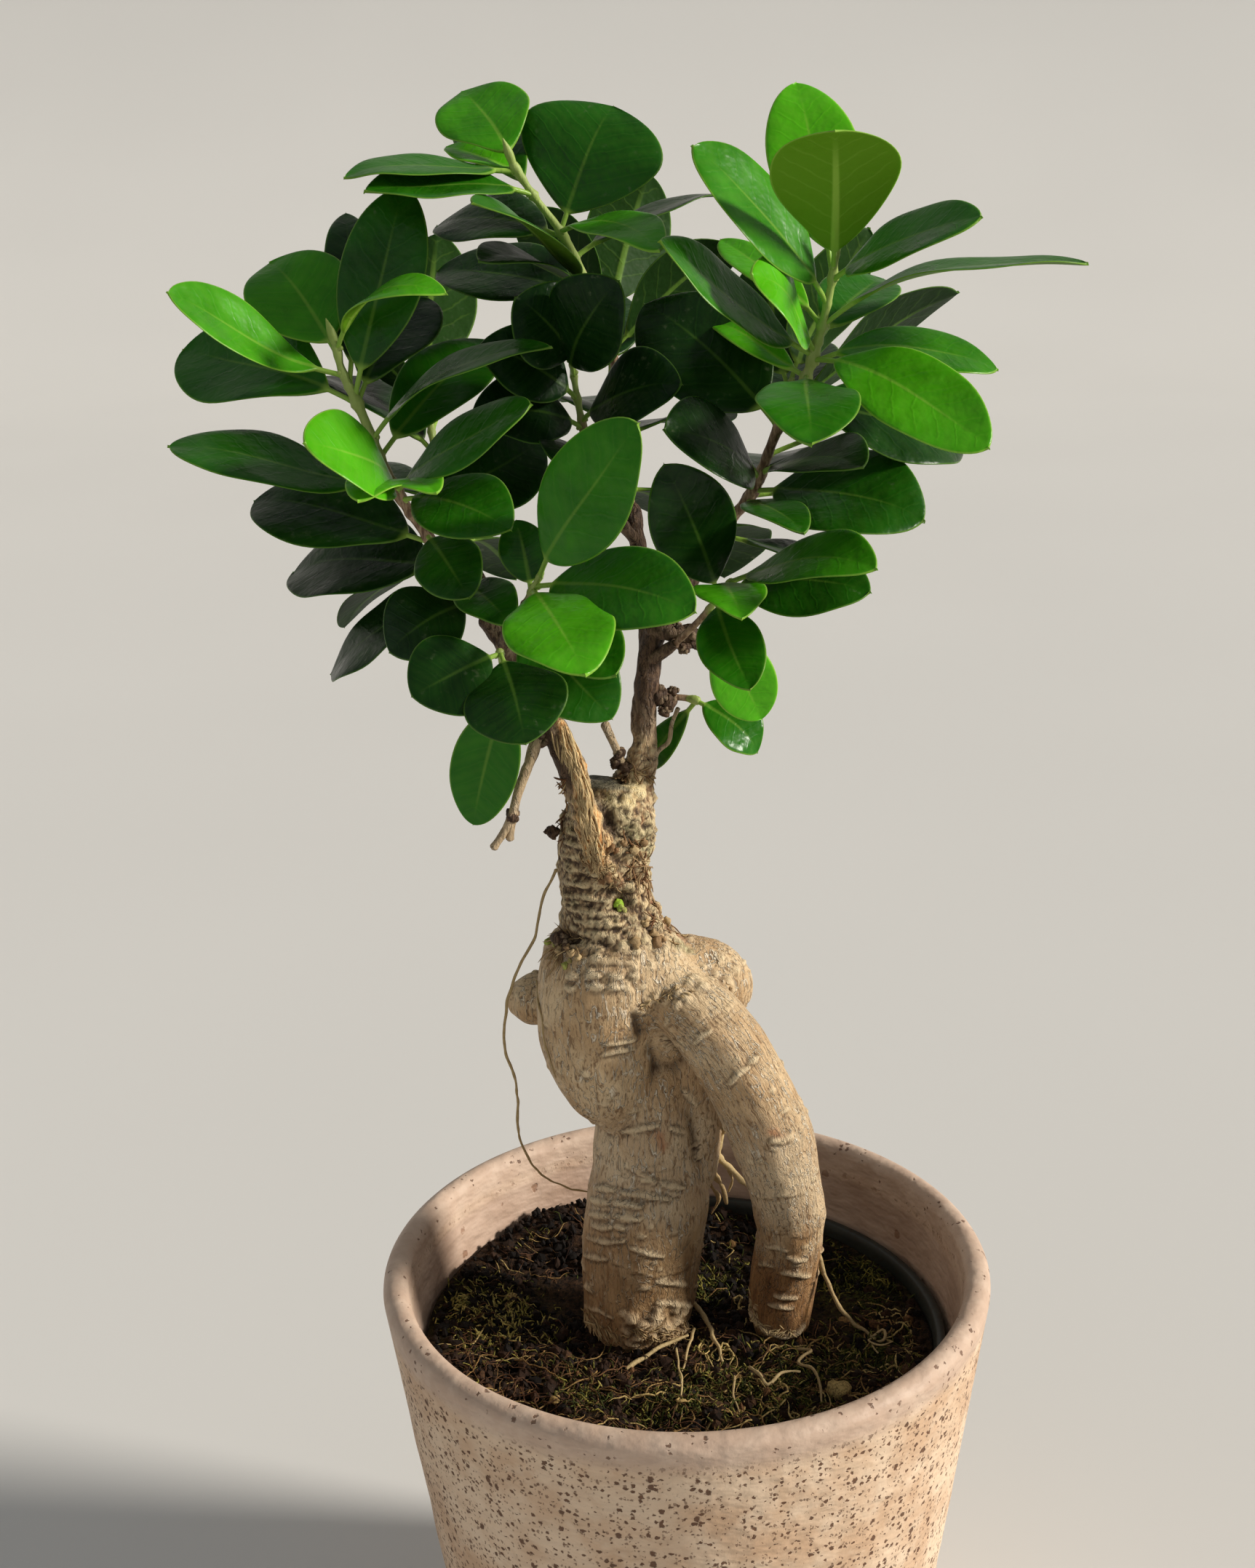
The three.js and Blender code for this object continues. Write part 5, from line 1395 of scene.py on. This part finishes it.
def add_shreds(trunk):
    """Loose strands of bark, hairs and buds, each with its foot on the skin"""
    tree = trunk.tree()
    chance = np.random.default_rng(29)
    shreds = Pile()
    steps = SHRED_POINTS
    for pixels, spread, number, (short, long), (dx, dy), turn, tone, stand in SHREDS:
        track = spline(pixels, chance.uniform(0, 1, number)) + chance.normal(0, spread / 2, (number, 2))
        lines = []
        for x, y in track:
            hit, normal = under(tree, x, y)
            if hit is None:
                continue
            angle = math.atan2(dy, dx) + chance.normal(0, turn)
            way = RIGHT * math.cos(angle) - UP * math.sin(angle)
            normal = np.array(normal)
            way = unit(way - normal * (way @ normal))
            side = np.cross(normal, way)
            bend, loose = chance.normal(0, 0.3), stand * chance.uniform(0.1, 1)
            step = chance.uniform(short, long) / (steps - 1)
            spot, line = np.array(hit), []
            for i in range(steps):
                near, out, _, _ = tree.find_nearest(Vector(spot))
                line.append(np.array(near) + np.array(out) * (0.08 + loose * (i / (steps - 1)) ** 1.5))
                spot = np.array(near) + step * unit(way + side * bend * i / steps)
            lines.append(line)
        count = len(lines)
        body = strands(lines, chance.uniform(0.1, 0.24, count))
        shreds.add(body, tone=tones_of(chance, steps * 4, tone, 0.2, count))
    for x, y, radius, green, tone in TUFTS:
        hit, normal = under(tree, x, y)
        if hit is not None:
            spot = np.array(hit) + np.array(normal) * radius * 0.5
            shreds.add(ball(spot, radius, int(x), 9, 11, 0.6), tone=tone, green=green)
    shreds.make("bark_shreds", [ROOT])


# Soil
SOIL_RADIUS = liner_outer(SOIL_LEVEL) - LINER_WALL - GAP
# Mounds: centre, height and reach
MOUNDS = [(-32, 42, 3.6, 12), (-49, 20, 1.0, 10), (-46, 2, 3.4, 11), (-30, -16, 1.8, 9), (-22, -34, 1.6, 10),
          (4, -36, 1.4, 12), (-28, 18, -2.8, 10), (34, 14, -1.4, 9), (6, 48, 2.8, 9), (34, 30, 1.0, 9)]
# Where the middle of the bank against the liner lies, and its height
BANK_TURN, BANK_HEIGHT = math.radians(168), 4.6
# Moss: centre and reach of each patch, and of the pale one
MOSS_PATCHES = [(10, -22, 13), (28, -14, 9), (43, 21, 12), (-47, 4, 13), (-6, -30, 8), (6, 22, 8),
                (-24, -22, 7), (30, 36, 8), (26, -32, 9), (44, -8, 8)]
PALE_MOSS = (-47, 4, 14)
# How far the heaps and the litter go past the bed's edge, and how far the heaps lie below the litter
HEAP_REACH, LITTER_REACH = 3.2, 2.4
HEAP_SINK = 0.5
CRUMBS, MOSS_STRANDS, MOSS_TUFTS = 4400, 1500, 1300
# Chips of bark and dry husks: place and size
CHIPS = [(34.6, -22.6, 2.6), (-43, 13.6, 1.5), (-30, -28, 1.3), (20, -34, 1.2), (-8, -41, 1.4), (38, 6, 1.3),
         (-20, 30, 1.4), (12, 40, 1.3)]


def hump(x, y, px, py, reach):
    """1 at a centre, falling off over a reach"""
    return np.exp(-((x - px) ** 2 + (y - py) ** 2) / reach ** 2)


def greenness(x, y):
    return np.clip(sum(hump(x, y, *patch) for patch in MOSS_PATCHES), 0, 1)


def soil_top(x, y):
    """Height of the soil bed's top"""
    x, y = np.asarray(x, float), np.asarray(y, float)
    lump = 0.9 * np.sin(0.21 * x + 0.6) * np.cos(0.17 * y) + 0.6 * np.sin(0.37 * y + 0.23 * x)
    flat = np.column_stack([x.ravel(), y.ravel(), np.zeros(x.size)])
    crumbs = 0.9 * noise(flat, 5, 31) + 0.8 * np.abs(noise(flat, 2.6, 32)) + 0.45 * noise(flat, 1.1, 33)
    inside = smoothstep(SOIL_RADIUS, SOIL_RADIUS - 5, np.hypot(x, y))
    return SOIL_LEVEL + (lump + crumbs.reshape(x.shape)) * (0.25 + 0.75 * inside)


def ground(x, y):
    """Height of the soil with its mounds"""
    x, y = np.asarray(x, float), np.asarray(y, float)
    heap = sum(high * hump(x, y, px, py, reach) for px, py, high, reach in MOUNDS)
    # the soil banks up against the liner from the back round the left to the front
    radius = np.hypot(x, y)
    bank = smoothstep(-0.1, 0.45, (x * math.cos(BANK_TURN) + y * math.sin(BANK_TURN)) / np.maximum(radius, 1))
    return soil_top(x, y) + heap + BANK_HEIGHT * bank * smoothstep(44, 59, radius)


def bed(top_of, radius, steps, foot, shrink):
    """A round bed of soil: a gridded top over a plain side and underside"""
    u, v = np.meshgrid(np.linspace(-1, 1, steps), np.linspace(-1, 1, steps), indexing="ij")
    x, y = u * np.sqrt(1 - v ** 2 / 2) * radius, v * np.sqrt(1 - u ** 2 / 2) * radius
    top = np.stack([x, y, top_of(x, y)], -1)
    index = np.arange(steps * steps).reshape(steps, steps)
    quads = np.stack([index[:-1, :-1], index[1:, :-1], index[1:, 1:], index[:-1, 1:]], -1).reshape(-1, 4)
    rim = np.concatenate([index[:-1, 0], index[-1, :-1], index[:0:-1, -1], index[0, :0:-1]])
    low_ring = top.reshape(-1, 3)[rim] * [shrink, shrink, 0] + [0, 0, foot]
    start = steps * steps
    low = np.arange(len(rim)) + start
    side = np.stack([rim, low, np.roll(low, -1), np.roll(rim, -1)], 1)
    under = np.stack([np.roll(low, -1), low, np.full(len(rim), start + len(rim))], 1)
    return np.vstack([top.reshape(-1, 3), low_ring, [[0, 0, foot]]]), [quads, side, under]


def add_soil():
    foot = LINER_FOOT + LINER_WALL + GAP
    shrink = (liner_outer(foot) - LINER_WALL - GAP) / SOIL_RADIUS
    points, faces = bed(soil_top, SOIL_RADIUS, 150, foot, shrink)
    soil = Pile()
    soil.add((points, faces), green=greenness(points[:, 0], points[:, 1]))
    soil.make("soil_bed", [SOIL], ["soil"])
    # the heaps lie on the bed, and sink into it where they are lower than a crumb
    points, faces = bed(lambda x, y: ground(x, y) - HEAP_SINK, SOIL_RADIUS + HEAP_REACH, 120,
                        SOIL_LEVEL - 1.5, 0.99)
    heaps = Pile()
    heaps.add((points, faces), green=greenness(points[:, 0], points[:, 1]))
    heaps.make("soil_heaps", [SOIL])


def clear_of_legs(x, y, margin):
    main = np.hypot(x + 12.2, y - 6.6) > 12.6 + margin
    right = np.hypot(x - 22.9, y - 5.4) > 7 + margin
    return main & right


def scattered(number, chance, margin=0.5, weigh=None):
    """Places on the soil, away from the legs; weigh gives each place's chance of being kept"""
    found = []
    while len(found) < number:
        angle, part = chance.uniform(0, 2 * math.pi), math.sqrt(chance.uniform(0, 1))
        reach = (SOIL_RADIUS + LITTER_REACH) * part
        x, y = reach * math.cos(angle), reach * math.sin(angle)
        # the liner's rim stays bare at the right
        bare = part > 0.93 and x > -12 and y > -45
        if clear_of_legs(x, y, margin) and not bare and (weigh is None or chance.uniform() < weigh(x, y)):
            found.append((x, y))
    return np.array(found)


def icosahedron():
    golden = (1 + math.sqrt(5)) / 2
    corners = unit([[-1, golden, 0], [1, golden, 0], [-1, -golden, 0], [1, -golden, 0], [0, -1, golden],
                    [0, 1, golden], [0, -1, -golden], [0, 1, -golden], [golden, 0, -1], [golden, 0, 1],
                    [-golden, 0, -1], [-golden, 0, 1]])
    faces = np.array([[0, 11, 5], [0, 5, 1], [0, 1, 7], [0, 7, 10], [0, 10, 11], [1, 5, 9], [5, 11, 4],
                      [11, 10, 2], [10, 7, 6], [7, 1, 8], [3, 9, 4], [3, 4, 2], [3, 2, 6], [3, 6, 8],
                      [3, 8, 9], [4, 9, 5], [2, 4, 11], [6, 2, 10], [8, 6, 7], [9, 8, 1]])
    return corners, faces


def add_crumbs(chance):
    """Angular crumbs of earth, darker towards the back and left, which is painted shade"""
    corners, sides = icosahedron()
    spots = scattered(CRUMBS, chance)
    size = np.exp(chance.uniform(math.log(0.35), math.log(1.5), CRUMBS))
    centre = np.column_stack([spots, ground(spots[:, 0], spots[:, 1]) + 0.25 * size])
    stretch = size[:, None, None] * chance.uniform(0.6, 1.25, (CRUMBS, 1, 3))
    points = centre[:, None] + corners[None] * stretch * chance.uniform(0.7, 1.25, (CRUMBS, 12, 1))
    faces = (sides[None] + 12 * np.arange(CRUMBS)[:, None, None]).reshape(-1, 3)
    # painted shade: crumbs towards the back and left are given lower tones
    light = 0.34 - 0.28 * smoothstep(-6, 12, spots[:, 1] - 0.3 * spots[:, 0])
    crumbs = Pile()
    crumbs.add((points.reshape(-1, 3), [faces]), tone=tones_of(chance, 12, light, 0.22))
    crumbs.make("soil_crumbs", [CRUMB], smooth=False)


def walks(chance, number, steps, step, lift, wander, weigh):
    """Random lines over the soil"""
    spots = scattered(number, chance, 1.0, weigh)
    heading = chance.uniform(0, 2 * math.pi, number)
    x, y = spots.T
    rows, height = [], chance.uniform(0.1, 0.6, number)
    turn = chance.normal(0, wander, number)
    for _ in range(steps):
        rows.append(np.column_stack([x, y, ground(x, y) + height]))
        turn = 0.7 * turn + chance.normal(0, wander, number)
        heading = heading + turn
        out = np.hypot(x, y) > SOIL_RADIUS - 3
        heading = np.where(out, np.arctan2(-y, -x), heading)
        x, y = x + step * np.cos(heading), y + step * np.sin(heading)
        height = np.clip(height + chance.normal(0, lift, number), 0.05, 2.4)
    return np.stack(rows, 1)


def in_front(_, y):
    return 0.2 + 0.8 * float(smoothstep(14, -18, y))


def left_front(x, y):
    return 0.05 + 0.95 * float(smoothstep(10, -8, y) * smoothstep(6, -14, x))


def right_front(x, y):
    return 0.05 + 0.95 * float(smoothstep(12, -10, y) * smoothstep(-14, 6, x))


# Fibres: how many, their points, step, lift and wander, thinnest and thickest radius, tone and its spread,
# and where they lie
FIBRES = [
    (300, 12, 1.3, 0.35, 0.3, 0.09, 0.17, 0.35, 0.2, in_front),
    (230, 10, 1.1, 0.35, 0.35, 0.1, 0.2, 0.28, 0.14, left_front),
    (190, 14, 1.4, 0.3, 0.22, 0.13, 0.28, 0.72, 0.18, right_front),
    (60, 18, 0.9, 0.35, 0.42, 0.18, 0.34, 0.85, 0.14, right_front),
    (40, 13, 1.6, 0.3, 0.12, 0.12, 0.24, 0.75, 0.2, left_front),
]


def add_fibres(chance):
    fibres = Pile()
    for number, steps, step, lift, wander, thin, thick, mean, spread, where in FIBRES:
        lines = walks(chance, number, steps, step, lift, wander, where)
        body = strands(lines, chance.uniform(thin, thick, number))
        fibres.add(body, tone=tones_of(chance, steps * 4, mean, spread, number))
    fibres.make("soil_fibres", [FIBRE])


def wet(x, y):
    return float(greenness(x, y)) ** 1.5 + 0.03


def moss_tones(chance, corners, spots, mean):
    pale = hump(spots[:, 0], spots[:, 1], *PALE_MOSS)
    return tones_of(chance, corners, mean + 0.7 * pale, 0.2)


def add_moss(chance):
    """Strands that lie on the soil, and short tufts that stand up"""
    moss = Pile()
    lines = walks(chance, MOSS_STRANDS, 7, 0.75, 0.45, 0.6, wet)
    body = strands(lines, chance.uniform(0.1, 0.22, MOSS_STRANDS))
    moss.add(body, tone=moss_tones(chance, 7 * 4, lines[:, 0], 0.36))
    number = MOSS_TUFTS
    spots = scattered(number, chance, 0.5, wet)
    foot = np.column_stack([spots, ground(spots[:, 0], spots[:, 1])])
    way = unit(np.column_stack([chance.normal(0, 0.6, (number, 2)), np.ones(number)]))
    length = chance.uniform(1.0, 2.8, number)[:, None]
    bend = chance.normal(0, 0.5, (number, 3)) * [1, 1, 0.2]
    rise = np.linspace(0, 1, 5)[None, :, None]
    tufts = foot[:, None] + rise * way[:, None] * length[:, None] + rise ** 2 * bend[:, None]
    body = strands(tufts, chance.uniform(0.12, 0.26, number))
    moss.add(body, tone=moss_tones(chance, 5 * 4, spots, 0.44))
    moss.make("soil_moss", [MOSS])


def add_chips():
    chips = Pile()
    for i, (x, y, size) in enumerate(CHIPS):
        body = ball((x, y, float(ground(x, y)) + size * 0.35), size, 80 + i, 9, 12, 0.5, 0.55)
        chips.add(body, tone=0.9 - 0.05 * i)
    chips.make("soil_chips", [FIBRE])


def add_litter():
    """Crumbs of earth, root fibres, moss and chips on the soil"""
    chance = np.random.default_rng(23)
    add_crumbs(chance)
    add_fibres(chance)
    add_moss(chance)
    add_chips()


# Shoots
# Where a leaf's points lie across it, from edge to edge, closer near the edges and the midrib
ACROSS = np.array([-1, -0.985, -0.93, -0.82, -0.64, -0.42, -0.22, -0.09, 0, 0.09, 0.22, 0.42, 0.64, 0.82,
                   0.93, 0.985, 1])


def leaf(root, tip, width, lean, arch, fold, own_peak, chance):
    """A blade with a folded midrib, a thin rim and a short point, on a round stalk"""
    root, tip = np.asarray(root, float), np.asarray(tip, float)
    length = np.linalg.norm(tip - root)
    along = (tip - root) / length
    angle = math.radians(lean)
    face = np.array([0, -math.sin(angle), math.cos(angle)])
    face = unit(face - along * (face @ along))
    across = np.cross(along, face)
    any_peak = chance.uniform(0.49, 0.58)
    peak = own_peak or any_peak
    blade = 0.5 - 0.5 * np.cos(math.pi * np.linspace(0, 1, 34))
    part = np.concatenate([np.linspace(0, PETIOLE_PART, 7)[:-1], PETIOLE_PART + (1 - PETIOLE_PART) * blade])
    s = (part - PETIOLE_PART) / (1 - PETIOLE_PART)
    on = np.clip(s, 0, 1)
    bulge = np.sin(math.pi * np.clip(on / 0.988, 0, 1) ** (math.log(0.5) / math.log(peak)))
    base_power, tip_power = chance.uniform(0.56, 0.68), chance.uniform(0.52, 0.6)
    power = base_power + (tip_power - base_power) * smoothstep(peak - 0.12, peak + 0.12, on)
    outline = np.clip(bulge, 0, 1) ** power * width / 2
    stalk = 0.52 * np.clip(1 - 1.4 * on, 0.0, 1) + 0.25 * smoothstep(0.05, 0, part)
    point = 0.5 * np.clip((1.0 - on) / 0.05, 0, 1) * smoothstep(0.93, 0.97, on)
    half = (outline ** 4 + stalk ** 4 + point ** 4) ** 0.25
    half = np.maximum(half, 0.04)[:, None]
    v = ACROSS[None]
    side = np.abs(v)
    phase, waves = chance.uniform(0, 6.3, 2), chance.uniform(1.0, 2.1)
    wave = waves * 6.3 * s[:, None]
    ripple = np.where(v < 0, np.sin(wave + phase[0]), np.sin(wave + phase[1]))
    flat = smoothstep(0, 0.2, s)[:, None]
    swell = chance.uniform(0.01, 0.024)
    rise = flat * (half * fold * side ** 1.3 * 1.15 - 0.035 * half * side ** 6
                   + swell * width * side ** 2 * ripple)
    thick = (1.1 - 0.66 * smoothstep(0, 0.16, s))[:, None]
    squareness = 2 + 10 * smoothstep(0, 0.1, s)[:, None]
    body = thick * np.sqrt(np.clip(1 - side ** squareness, 0, 1))
    gap = side * half
    rib = flat * 0.42 * np.clip(1 - on, 0, 1)[:, None] ** 0.7 * np.exp(-(gap / 0.5) ** 2)
    groove = flat * 0.12 * np.clip(1 - on, 0, 1)[:, None] * np.exp(-(gap / 0.45) ** 2)
    upper, lower = rise + body / 2 - groove, rise - body / 2 - rib
    sweep = chance.normal(0, 0.022) * length
    droop = chance.uniform(0.2, 1.1) * smoothstep(0.72, 1.0, s) ** 2
    curl = 0.025 * length * np.sin(math.pi * 2 * part) * chance.normal(0, 1)
    bow = 4 * arch * part * (1 - part) - droop + curl * 0.5
    middle = (root + part[:, None] * along * length + bow[:, None] * face
              + (sweep * np.sin(math.pi * part))[:, None] * across)
    x = v * half
    top = middle[:, None] + x[..., None] * across + upper[..., None] * face
    under = middle[:, None] + x[..., None] * across + lower[..., None] * face
    rings = np.concatenate([top, under[:, -2:0:-1]], 1)
    order = np.concatenate([ACROSS, ACROSS[-2:0:-1]])
    below = np.concatenate([np.where(side[0] == 1, 0.5, 0.0), np.ones(len(ACROSS) - 2)])
    shape = rings.shape[:2]
    edge = np.minimum((1 - np.abs(order))[None] * half, np.maximum(0, (1 - s[:, None]) * length * 0.9))
    edge = np.where(s[:, None] < 0.02, 3.0, edge)

    def closed(values):
        return np.append(values.ravel(), [values[0].mean(), values[-1].mean()])

    marks = np.stack([closed(np.broadcast_to(order, shape)), closed(np.broadcast_to(s[:, None], shape)),
                      closed(np.broadcast_to(half, shape))], 1)
    return skin(rings), marks, closed(edge), closed(np.broadcast_to(below, shape))


def add_shoot(name, stem, leaves, tones, spurs=(), look=LEAF, slot="foliage"):
    chance = np.random.default_rng(sum(map(ord, name)))
    shoot = Pile()
    line, parts = even_line(stem, 0.8)
    stations = [row[0] for row in leaves]
    run = np.linalg.norm(np.diff(line[:, :3], axis=0), axis=1).sum()
    size = line[:, 3] * (0.7 + 0.07 * noise(line[:, :3], 1.8, 5))
    for at in stations:
        size = size + 0.26 * np.exp(-(((parts - at) * run) / 0.8) ** 2)
    body = tube(line[:, :3], size, 12)
    wood = np.interp(np.linspace(0, 1, len(line)), [0, 0.35, 0.7, 1], [1.15, 0.85, 0.35, -0.1])
    wood = np.concatenate([[wood[0]] * 2, wood, [wood[-1]] * 2])
    shoot.add(body, 1, wood=np.append(np.repeat(wood, 12), [wood[0], wood[-1]]))
    fine = spline(stem, np.linspace(0, 1, 201))
    lengths = np.concatenate([[0], np.cumsum(np.linalg.norm(np.diff(fine[:, :3], axis=0), axis=1))])
    for (at, x, y, z, width, lean, arch, *own), tone in zip(leaves, tones):
        root = [np.interp(at * lengths[-1], lengths, fine[:, k]) for k in range(3)]
        if width == BUD_WIDTH:
            middle = [(root[0] + x) / 2, (root[1] + y) / 2, (root[2] + z) / 2]
            path, _ = even_line([root + [0.75], middle + [0.9], [x, y, z, 0.12]], 0.4)
            shoot.add(tube(path[:, :3], path[:, 3], 10), 1, wood=-0.2)
            continue
        fold = chance.uniform(0.05, 0.16)
        own_fold, own_peak = own + [fold, None][len(own):]
        body, blade, edge, below = leaf(root, [x, y, z], width, lean, arch, own_fold, own_peak, chance)
        marks = np.column_stack([np.full(len(edge), tone), np.full(len(edge), chance.uniform()), below])
        shoot.add(body, 0, blade=blade, tint=marks, edge=edge)
        # a small scale where the stalk leaves the stem
        way = unit(np.array([x, y, z]) - root)
        shoot.add(ball(np.array(root) + way * 1.1, 0.55, int(10 * x) % 97, 7, 9, 0.2), 1, wood=0.15)
    for rows in spurs:
        shoot.add(limb(rows, 10, 0.6), 1, wood=1.2)
    shoot.make(name + "_foliage", [look, STEM], [name])


def add_shoots():
    # the shoots in the middle and at the back take the darker leaf colours, painted shade
    shaded = ("shoot_middle", "shoot_back_left", "shoot_back_right", "shoot_back")
    for name, rows in SHOOTS.items():
        if name in shaded:
            add_shoot(name, **rows, look=SHADED_LEAF, slot="shaded_foliage")
        else:
            add_shoot(name, **rows)


# Stage
def light(name, kind, place, aim, power, colour, **settings):
    lamp = bpy.data.lights.new(name, kind)
    lamp.energy, lamp.color = power, colour
    for key, value in settings.items():
        setattr(lamp, key, value)
    holder = bpy.data.objects.new(name, lamp)
    scene.collection.objects.link(holder)
    holder.location = place
    holder.rotation_euler = (Vector(aim) - Vector(place)).to_track_quat("-Z", "Y").to_euler()


def add_stage():
    """A pale floor that bends up far behind the plant, a soft sun from the right, and a pale sky"""
    bend = np.linspace(0, math.pi / 2, 24)
    rows = [(-8, 0)] + [(2.4 + 1.6 * math.sin(a), 1.6 - 1.6 * math.cos(a)) for a in bend] + [(4, 5)]
    mesh = bpy.data.meshes.new("floor")
    mesh.from_pydata([(x, y, z) for y, z in rows for x in (-9, 9)], [],
                     [(2 * i, 2 * i + 1, 2 * i + 3, 2 * i + 2) for i in range(len(rows) - 1)])
    mesh.polygons.foreach_set("use_smooth", [True] * len(mesh.polygons))
    look = Look("floor", 0.85)
    look.colour(look.mix(look.noise(400, detail=1), tint(214, 212, 208), tint(220, 218, 214)))
    mesh.materials.append(look.material)
    floor = bpy.data.objects.new("floor", mesh)
    scene.collection.objects.link(floor)
    world = bpy.data.worlds.new("studio")
    world.use_nodes = True
    background = world.node_tree.nodes["Background"]
    background.inputs["Color"].default_value = (0.9, 0.93, 0.96, 1)
    background.inputs["Strength"].default_value = SKY
    scene.world = world
    aim = (0, 0, 0.2)
    light("key", "SUN", (1.0, -0.12, 0.68), aim, SUN, (1, 0.95, 0.87), angle=SUN_WIDTH)
    light("fill", "AREA", (-0.9, -1.1, 0.7), aim, FILL, (0.95, 0.97, 1), shape="DISK", size=1.3)
    scene.view_settings.view_transform = "Standard"


add_pot()
add_liner()
skin_of_trunk = add_trunk()
add_twigs()
add_threads(skin_of_trunk)
add_shreds(skin_of_trunk)
add_soil()
add_litter()
add_shoots()
add_stage()

bpy.context.view_layer.update()
